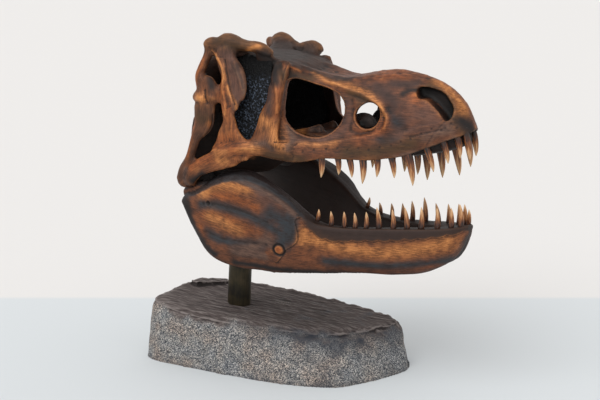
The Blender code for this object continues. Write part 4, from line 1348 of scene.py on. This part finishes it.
def lower_jaw(settings):
    body = fused(joined("lower_jaw", [jaw_half(side) for side in SIDES]), settings.bone_grid, 2)
    sculpt_jaw(body)
    return thinned(body, settings.jaw_triangles)


def paint_jaw(obj):
    """Brush the outside of the jaw and darken its crest and gums with paint; its underside and
    inside are painted dark as painted shade.
    """
    co, normal = places(obj)
    outer = facing_out(co, normal, -0.1, 0.4)
    paint = np.tile(JAW_PAINT, (len(co), 1))
    paint = brushed(paint, co, outer, JAW_STROKES)
    crest = 0.85 * soft_step(0.15, 0.6, normal[:, 2]) * soft_step(*CREST_FRONT, co[:, 0])
    paint = covered(paint, "slate", crest)
    x, z, radius = PLUG
    far = np.hypot(co[:, 0] - x, co[:, 2] - z)
    paint = covered(paint, "copper", soft_step(radius, radius - 2, far) * outer)
    gum = soft_step(-1.0, 1.5, above_gum_edge(co[:, (0, 2)])) * along_gums(co)
    # painted shade: dark on faces that look down
    under = soft_step(0.4, 0.9, -normal[:, 2])
    ring = hill(far - radius, 2.2) * outer
    # the gum band and the ring round the plug are paint; the underside is painted shade
    dark = np.maximum(np.maximum(0.78 * gum, 0.6 * under), 0.9 * ring)
    paint = covered(paint, "dark", dark)
    # painted shade: near-black on the inner side of the jaw, less where the crest turns up
    paint = covered(paint, "black", 0.92 * (1 - outer) * (1 - 0.7 * crest))
    store_paint(obj, co, normal, jaw_grain(co), paint)


# ---- the stand -------------------------------------------------------------------------------
RIM_RING = smooth_rows(RIM_OUTLINE, 6, closed=True)


def rod(settings):
    """The pipe, a little wider at its foot, with softened ends."""
    along = (ROD_HEAD - ROD_FOOT) * MM
    bpy.ops.object.select_all(action="DESELECT")
    bpy.ops.mesh.primitive_cone_add(vertices=64, radius1=settings.rod_foot_radius,
                                    radius2=settings.rod_radius, depth=along.length)
    pipe = bpy.context.object
    pipe.name = "rod_pipe"
    bpy.ops.object.mode_set(mode="EDIT")
    work = bmesh.from_edit_mesh(pipe.data)
    rims = [e for e in work.edges if abs(e.verts[0].co.z - e.verts[1].co.z) < 1e-6]
    bmesh.ops.bevel(work, geom=rims, offset=ROD_BEVEL, segments=3, affect="EDGES", profile=0.5)
    bmesh.update_edit_mesh(pipe.data)
    bpy.ops.object.mode_set(mode="OBJECT")
    turn = along.to_track_quat("Z", "Y").to_matrix().to_4x4()
    pipe.data.transform(Matrix.Translation((ROD_HEAD + ROD_FOOT) / 2 * MM) @ turn)
    return pipe


def top_height(x):
    return BASE_TOP_MID + BASE_TOP_SLOPE * x


def base_block(grid):
    """The block and the ledge on it as one skin, before the weather."""
    rings = []
    for share, level in BASE_LEVELS:
        rings.append([(a[0] + (b[0] - a[0]) * share, a[1] + (b[1] - a[1]) * share,
                       level * (top_height(b[0]) - RIM_DROP))
                      for a, b in zip(smooth_rows(FLOOR_OUTLINE, 6, closed=True), RIM_RING)])
    rings.append([(x, y, top_height(x) - RIM_DROP) for x, y in RIM_RING])
    rings.append([(x * 0.985, y * 0.975 + 0.5, top_height(x)) for x, y in RIM_RING])
    rings.append([(x * 0.5, y * 0.5 + 1, top_height(x * 0.5)) for x, y in RIM_RING])
    block = skin("stone_base", rings)
    ledge = skin("ledge", [[(x, y, 66) for x, y in SHELF],
                           [(x * 0.985, y * 0.97, top_height(x) + 5.5) for x, y in SHELF]])
    return fused(joined("stone_base", [block, ledge]), grid, 1)


def weather(obj):
    """Furrow the top along its bedding, and let the sides drip, chip and wear away."""
    co, normal = places(obj)
    upward = soft_step(0.55, 0.85, normal[:, 2])
    sideways = 1 - soft_step(0.6, 0.95, np.abs(normal[:, 2]))
    c, s = cos(BEDDING_TURN), sin(BEDDING_TURN)
    bed = np.stack([co[:, 0] * c + co[:, 1] * s, co[:, 1] * c - co[:, 0] * s, co[:, 2]], axis=1)
    push = upward * (-0.9 + 0.8 * rough(bed, *FURROWS) + 0.5 * rough(bed, *FINE_FURROWS))
    drips = 1 + 1.6 * towards_snout(co)
    push += sideways * (-2.2 + drips * rough(co, *DRIPS) + 0.8 * rough(co, *RIPPLES)
                        + 0.4 * rough(co, *PITS))
    top = top_height(co[:, 0])
    push += sideways * hill(co[:, 2] - top + 3, 5) * (-1.2 + 1.8 * rough(co, *RIM_BUMPS))
    co = co + normal * push[:, None]
    above = co[:, 2] - top
    edge = line_distance(co[:, :2], RIM_RING + RIM_RING[:1])
    chipped = hill(edge, 9) * soft_step(-8, -2, above) * soft_step(-10, 25, co[:, 1])
    chips = 2.6 * rough(co, *CHIPS) + 1.3 * rough(co, *SMALL_CHIPS)
    lumps = soft_step(1, 4, above) * (1 + 2.2 * rough(co, *LUMPS))
    co[:, 2] += chipped * (1.2 + chips) + lumps + 0.4 * chips * (lumps > 0)
    near = soft_step(10, -25, co[:, 1] - 0.35 * np.maximum(co[:, 0], 0))
    shoulder = hill(edge, 12) * near * soft_step(-14, -2, co[:, 2] - top)
    co[:, 2] -= SHOULDER_DEPTH * shoulder
    co[:, 2] = np.maximum(co[:, 2], 0.0)
    move_to(obj, co)


def towards_snout(co):
    """The end of the base under the snout, where the wash ran down in drips."""
    return soft_step(*DRIP_GROWTH, co[:, 0])


def stain(obj):
    """Keep where the wash of the top and its run-off lie, and the relief they catch on."""
    co, normal = places(obj)
    depth = top_height(co[:, 0]) - co[:, 2]
    flow = 7 + 9 * hill(co[:, 0] + 110, 45)
    store(obj, "top", soft_step(6, -5, depth - flow + 7 * rough(co, *WASH_EDGE)
                                + 3 * rough(co, *WASH_FRAY)))
    run = soft_step(34, 4, depth + 9 * rough(co, *RUN_OFF)) * soft_step(*RUN_OFF_GROWTH, co[:, 0])
    foot = soft_step(7, 0, co[:, 2] + 3 * rough(co, *FOOT_EDGE))
    grooves = soft_step(0.2, -0.7, rough(co, *DRIPS)) * towards_snout(co)
    store(obj, "stain", 0.7 * run + 0.25 * foot + 0.3 * grooves)
    store(obj, "relief", raised_edges(obj, co, normal, 6, 0.8))


def stone_base(settings):
    """The rough block: its outlines skinned and fused, then weathered and stained."""
    body = base_block(settings.stone_grid)
    weather(body)
    thinned(body, settings.stone_triangles)
    stain(body)
    return body


# ---- settings and operators ------------------------------------------------------------------
class SkullSettings(bpy.types.PropertyGroup):
    bone_grid: bpy.props.FloatProperty(
        name="Bone grid", description="Spacing of the grid on which the bones are fused",
        default=0.0015, min=0.0011, max=0.004, precision=4, unit="LENGTH")
    fillet: bpy.props.FloatProperty(
        name="Fillet", description="How far the inner corners between bones are filled",
        default=0.0028, unit="LENGTH")
    stone_grid: bpy.props.FloatProperty(
        name="Stone grid", description="Spacing of the grid on which the base is fused",
        default=0.002, min=0.0014, max=0.006, precision=4, unit="LENGTH")
    skull_triangles: bpy.props.IntProperty(
        name="Skull triangles", description="Most triangles in the skull", default=190000)
    jaw_triangles: bpy.props.IntProperty(
        name="Jaw triangles", description="Most triangles in the lower jaw", default=150000)
    stone_triangles: bpy.props.IntProperty(
        name="Stone triangles", description="Most triangles in the base", default=150000)
    rod_radius: bpy.props.FloatProperty(
        name="Rod radius", description="Half the outside diameter of the rod at its head",
        default=0.01685, unit="LENGTH")
    rod_foot_radius: bpy.props.FloatProperty(
        name="Rod foot radius", description="Half the outside diameter of the rod at its foot",
        default=ROD_RADIUS, unit="LENGTH")
    undercoat: bpy.props.FloatVectorProperty(
        name="Undercoat", description="Near-black brown that is left in the hollows",
        default=linear("#150C08"), subtype="COLOR", min=0, max=1)
    copper: bpy.props.FloatVectorProperty(
        name="Copper", description="Main dry-brushed colour of the bones",
        default=linear("#A05427"), subtype="COLOR", min=0, max=1)
    gold: bpy.props.FloatVectorProperty(
        name="Gold", description="Highlights on ridges",
        default=linear("#CB8950"), subtype="COLOR", min=0, max=1)
    slate: bpy.props.FloatVectorProperty(
        name="Slate", description="Blue-grey paint in broad grooves",
        default=linear("#3C4248"), subtype="COLOR", min=0, max=1)
    olive: bpy.props.FloatVectorProperty(
        name="Olive", description="Olive-brown wash on the brow and the lips",
        default=linear("#3E301D"), subtype="COLOR", min=0, max=1)
    mauve: bpy.props.FloatVectorProperty(
        name="Mauve", description="Mauve-grey wash on flat bone",
        default=linear("#5C4640"), subtype="COLOR", min=0, max=1)
    near_paper: bpy.props.StringProperty(
        name="Floor", description="Colour of the floor, as hex", default="#D4D9DC")
    far_paper: bpy.props.StringProperty(
        name="Background", description="Colour further back, as hex", default="#E1E0DF")
    sky_light: bpy.props.FloatProperty(
        name="Sky light", description="Strength of the even studio light", default=0.85, min=0)
    key_light: bpy.props.FloatProperty(
        name="Key light", description="Strength of the large soft lamp", default=1.3, min=0)


PAINTED = {}


def shared(kind, settings):
    """A material that several pieces share, made once."""
    if kind.__name__ not in PAINTED:
        PAINTED[kind.__name__] = kind(settings)
    return PAINTED[kind.__name__]


class SKULL_OT_cranium(bpy.types.Operator):
    """Build the upper skull with its windows, sutures and brushed paint"""
    bl_idname = "skull.cranium"
    bl_label = "Upper skull"

    def execute(self, context):
        settings = context.scene.skull_settings
        body = cranium(settings)
        paint_skull(body)
        ridden(body, "bone", shared(painted_bone, settings), "snout", "cheek_left", "cheek_right",
               "temple_left", "temple_right", "skull_roof", "braincase_palate")
        return {"FINISHED"}


class SKULL_OT_eye_sockets(bpy.types.Operator):
    """Close both eye sockets with their gritty black back"""
    bl_idname = "skull.eye_sockets"
    bl_label = "Eye sockets"

    def execute(self, context):
        settings = context.scene.skull_settings
        ridden(eye_sockets(settings), "bone", shared(black_grit, settings))
        return {"FINISHED"}


class SKULL_OT_lower_jaw(bpy.types.Operator):
    """Build the lower jaw with its grooves, plug and brushed paint"""
    bl_idname = "skull.lower_jaw"
    bl_label = "Lower jaw"

    def execute(self, context):
        settings = context.scene.skull_settings
        body = lower_jaw(settings)
        paint_jaw(body)
        ridden(body, "bone", shared(painted_bone, settings), "lower_jaw_left", "lower_jaw_right")
        return {"FINISHED"}


class SKULL_OT_teeth(bpy.types.Operator):
    """Set the upper and the lower teeth"""
    bl_idname = "skull.teeth"
    bl_label = "Teeth"

    def execute(self, context):
        settings = context.scene.skull_settings
        for row in (set_teeth("upper_teeth", (UPPER_RIGHT, UPPER_LEFT), SNOUT, 6.0, 4.0, 3, -1,
                              UPPER_GIRTH),
                    set_teeth("lower_teeth", (LOWER_RIGHT, LOWER_LEFT), JAW, 4.5, 5.0, 2, 1,
                              LOWER_GIRTH)):
            ridden(row, "bone", shared(painted_tooth, settings))
        return {"FINISHED"}


class SKULL_OT_rod(bpy.types.Operator):
    """Stand the steel pipe that holds the skull"""
    bl_idname = "skull.rod"
    bl_label = "Rod"

    def execute(self, context):
        settings = context.scene.skull_settings
        ridden(rod(settings), "rod", shared(dark_steel, settings), "stand_rod")
        bpy.ops.object.shade_smooth_by_angle(angle=radians(30))
        return {"FINISHED"}


class SKULL_OT_base(bpy.types.Operator):
    """Cast the granite-effect base"""
    bl_idname = "skull.base"
    bl_label = "Base"

    def execute(self, context):
        settings = context.scene.skull_settings
        ridden(stone_base(settings), "base", shared(granite_cast, settings), "stand_base")
        return {"FINISHED"}


class SKULL_OT_stage(bpy.types.Operator):
    """Lay the studio paper, and place the lights and the camera"""
    bl_idname = "skull.stage"
    bl_label = "Stage"

    def execute(self, context):
        settings = context.scene.skull_settings
        bpy.ops.object.select_all(action="DESELECT")
        bpy.ops.mesh.primitive_plane_add(size=PAPER_SIZE)
        paper = bpy.context.object
        paper.name = "studio_floor"
        paper.data.materials.append(shared(studio_paper, settings))
        world = bpy.data.worlds.new("studio")
        world.use_nodes = True
        sky = world.node_tree.nodes["Background"]
        sky.inputs["Color"].default_value = SKY_COLOR
        sky.inputs["Strength"].default_value = settings.sky_light
        context.scene.world = world
        bpy.ops.object.light_add(type="SUN", rotation=SUN_TURN)
        lamp = bpy.context.object
        lamp.name = "key_light"
        lamp.data.energy = settings.key_light
        lamp.data.angle = SUN_SPREAD
        bpy.ops.object.camera_add(location=CAMERA_PLACE)
        camera = bpy.context.object
        camera.name = "view_camera"
        camera.rotation_mode = "QUATERNION"
        aim = Vector(CAMERA_AIM) - camera.location
        camera.rotation_quaternion = aim.to_track_quat("-Z", "Y")
        camera.data.lens = CAMERA_LENS
        camera.data.sensor_width = 36.0
        context.scene.camera = camera
        context.scene.view_settings.view_transform = "Standard"
        return {"FINISHED"}


class SKULL_PT_panel(bpy.types.Panel):
    """Lists the pieces of the skull and their settings"""
    bl_idname = "SKULL_PT_panel"
    bl_label = "Skull on a Stand"
    bl_space_type = "VIEW_3D"
    bl_region_type = "UI"
    bl_category = "Skull"

    def draw(self, context):
        settings = context.scene.skull_settings
        for name in settings.bl_rna.properties.keys():
            if name not in ("rna_type", "name"):
                self.layout.prop(settings, name)
        for operator in OPERATORS:
            self.layout.operator(operator.bl_idname)


OPERATORS = (SKULL_OT_stage, SKULL_OT_cranium, SKULL_OT_eye_sockets, SKULL_OT_lower_jaw,
             SKULL_OT_teeth, SKULL_OT_rod, SKULL_OT_base)
CLASSES = (SkullSettings, *OPERATORS, SKULL_PT_panel)


def register():
    for item in CLASSES:
        bpy.utils.register_class(item)
    bpy.types.Scene.skull_settings = bpy.props.PointerProperty(type=SkullSettings)


def unregister():
    del bpy.types.Scene.skull_settings
    for item in reversed(CLASSES):
        bpy.utils.unregister_class(item)


def main():
    register()
    bpy.ops.skull.stage()
    bpy.ops.skull.cranium()
    bpy.ops.skull.eye_sockets()
    bpy.ops.skull.lower_jaw()
    bpy.ops.skull.teeth()
    bpy.ops.skull.rod()
    bpy.ops.skull.base()


if __name__ == "__main__":
    main()
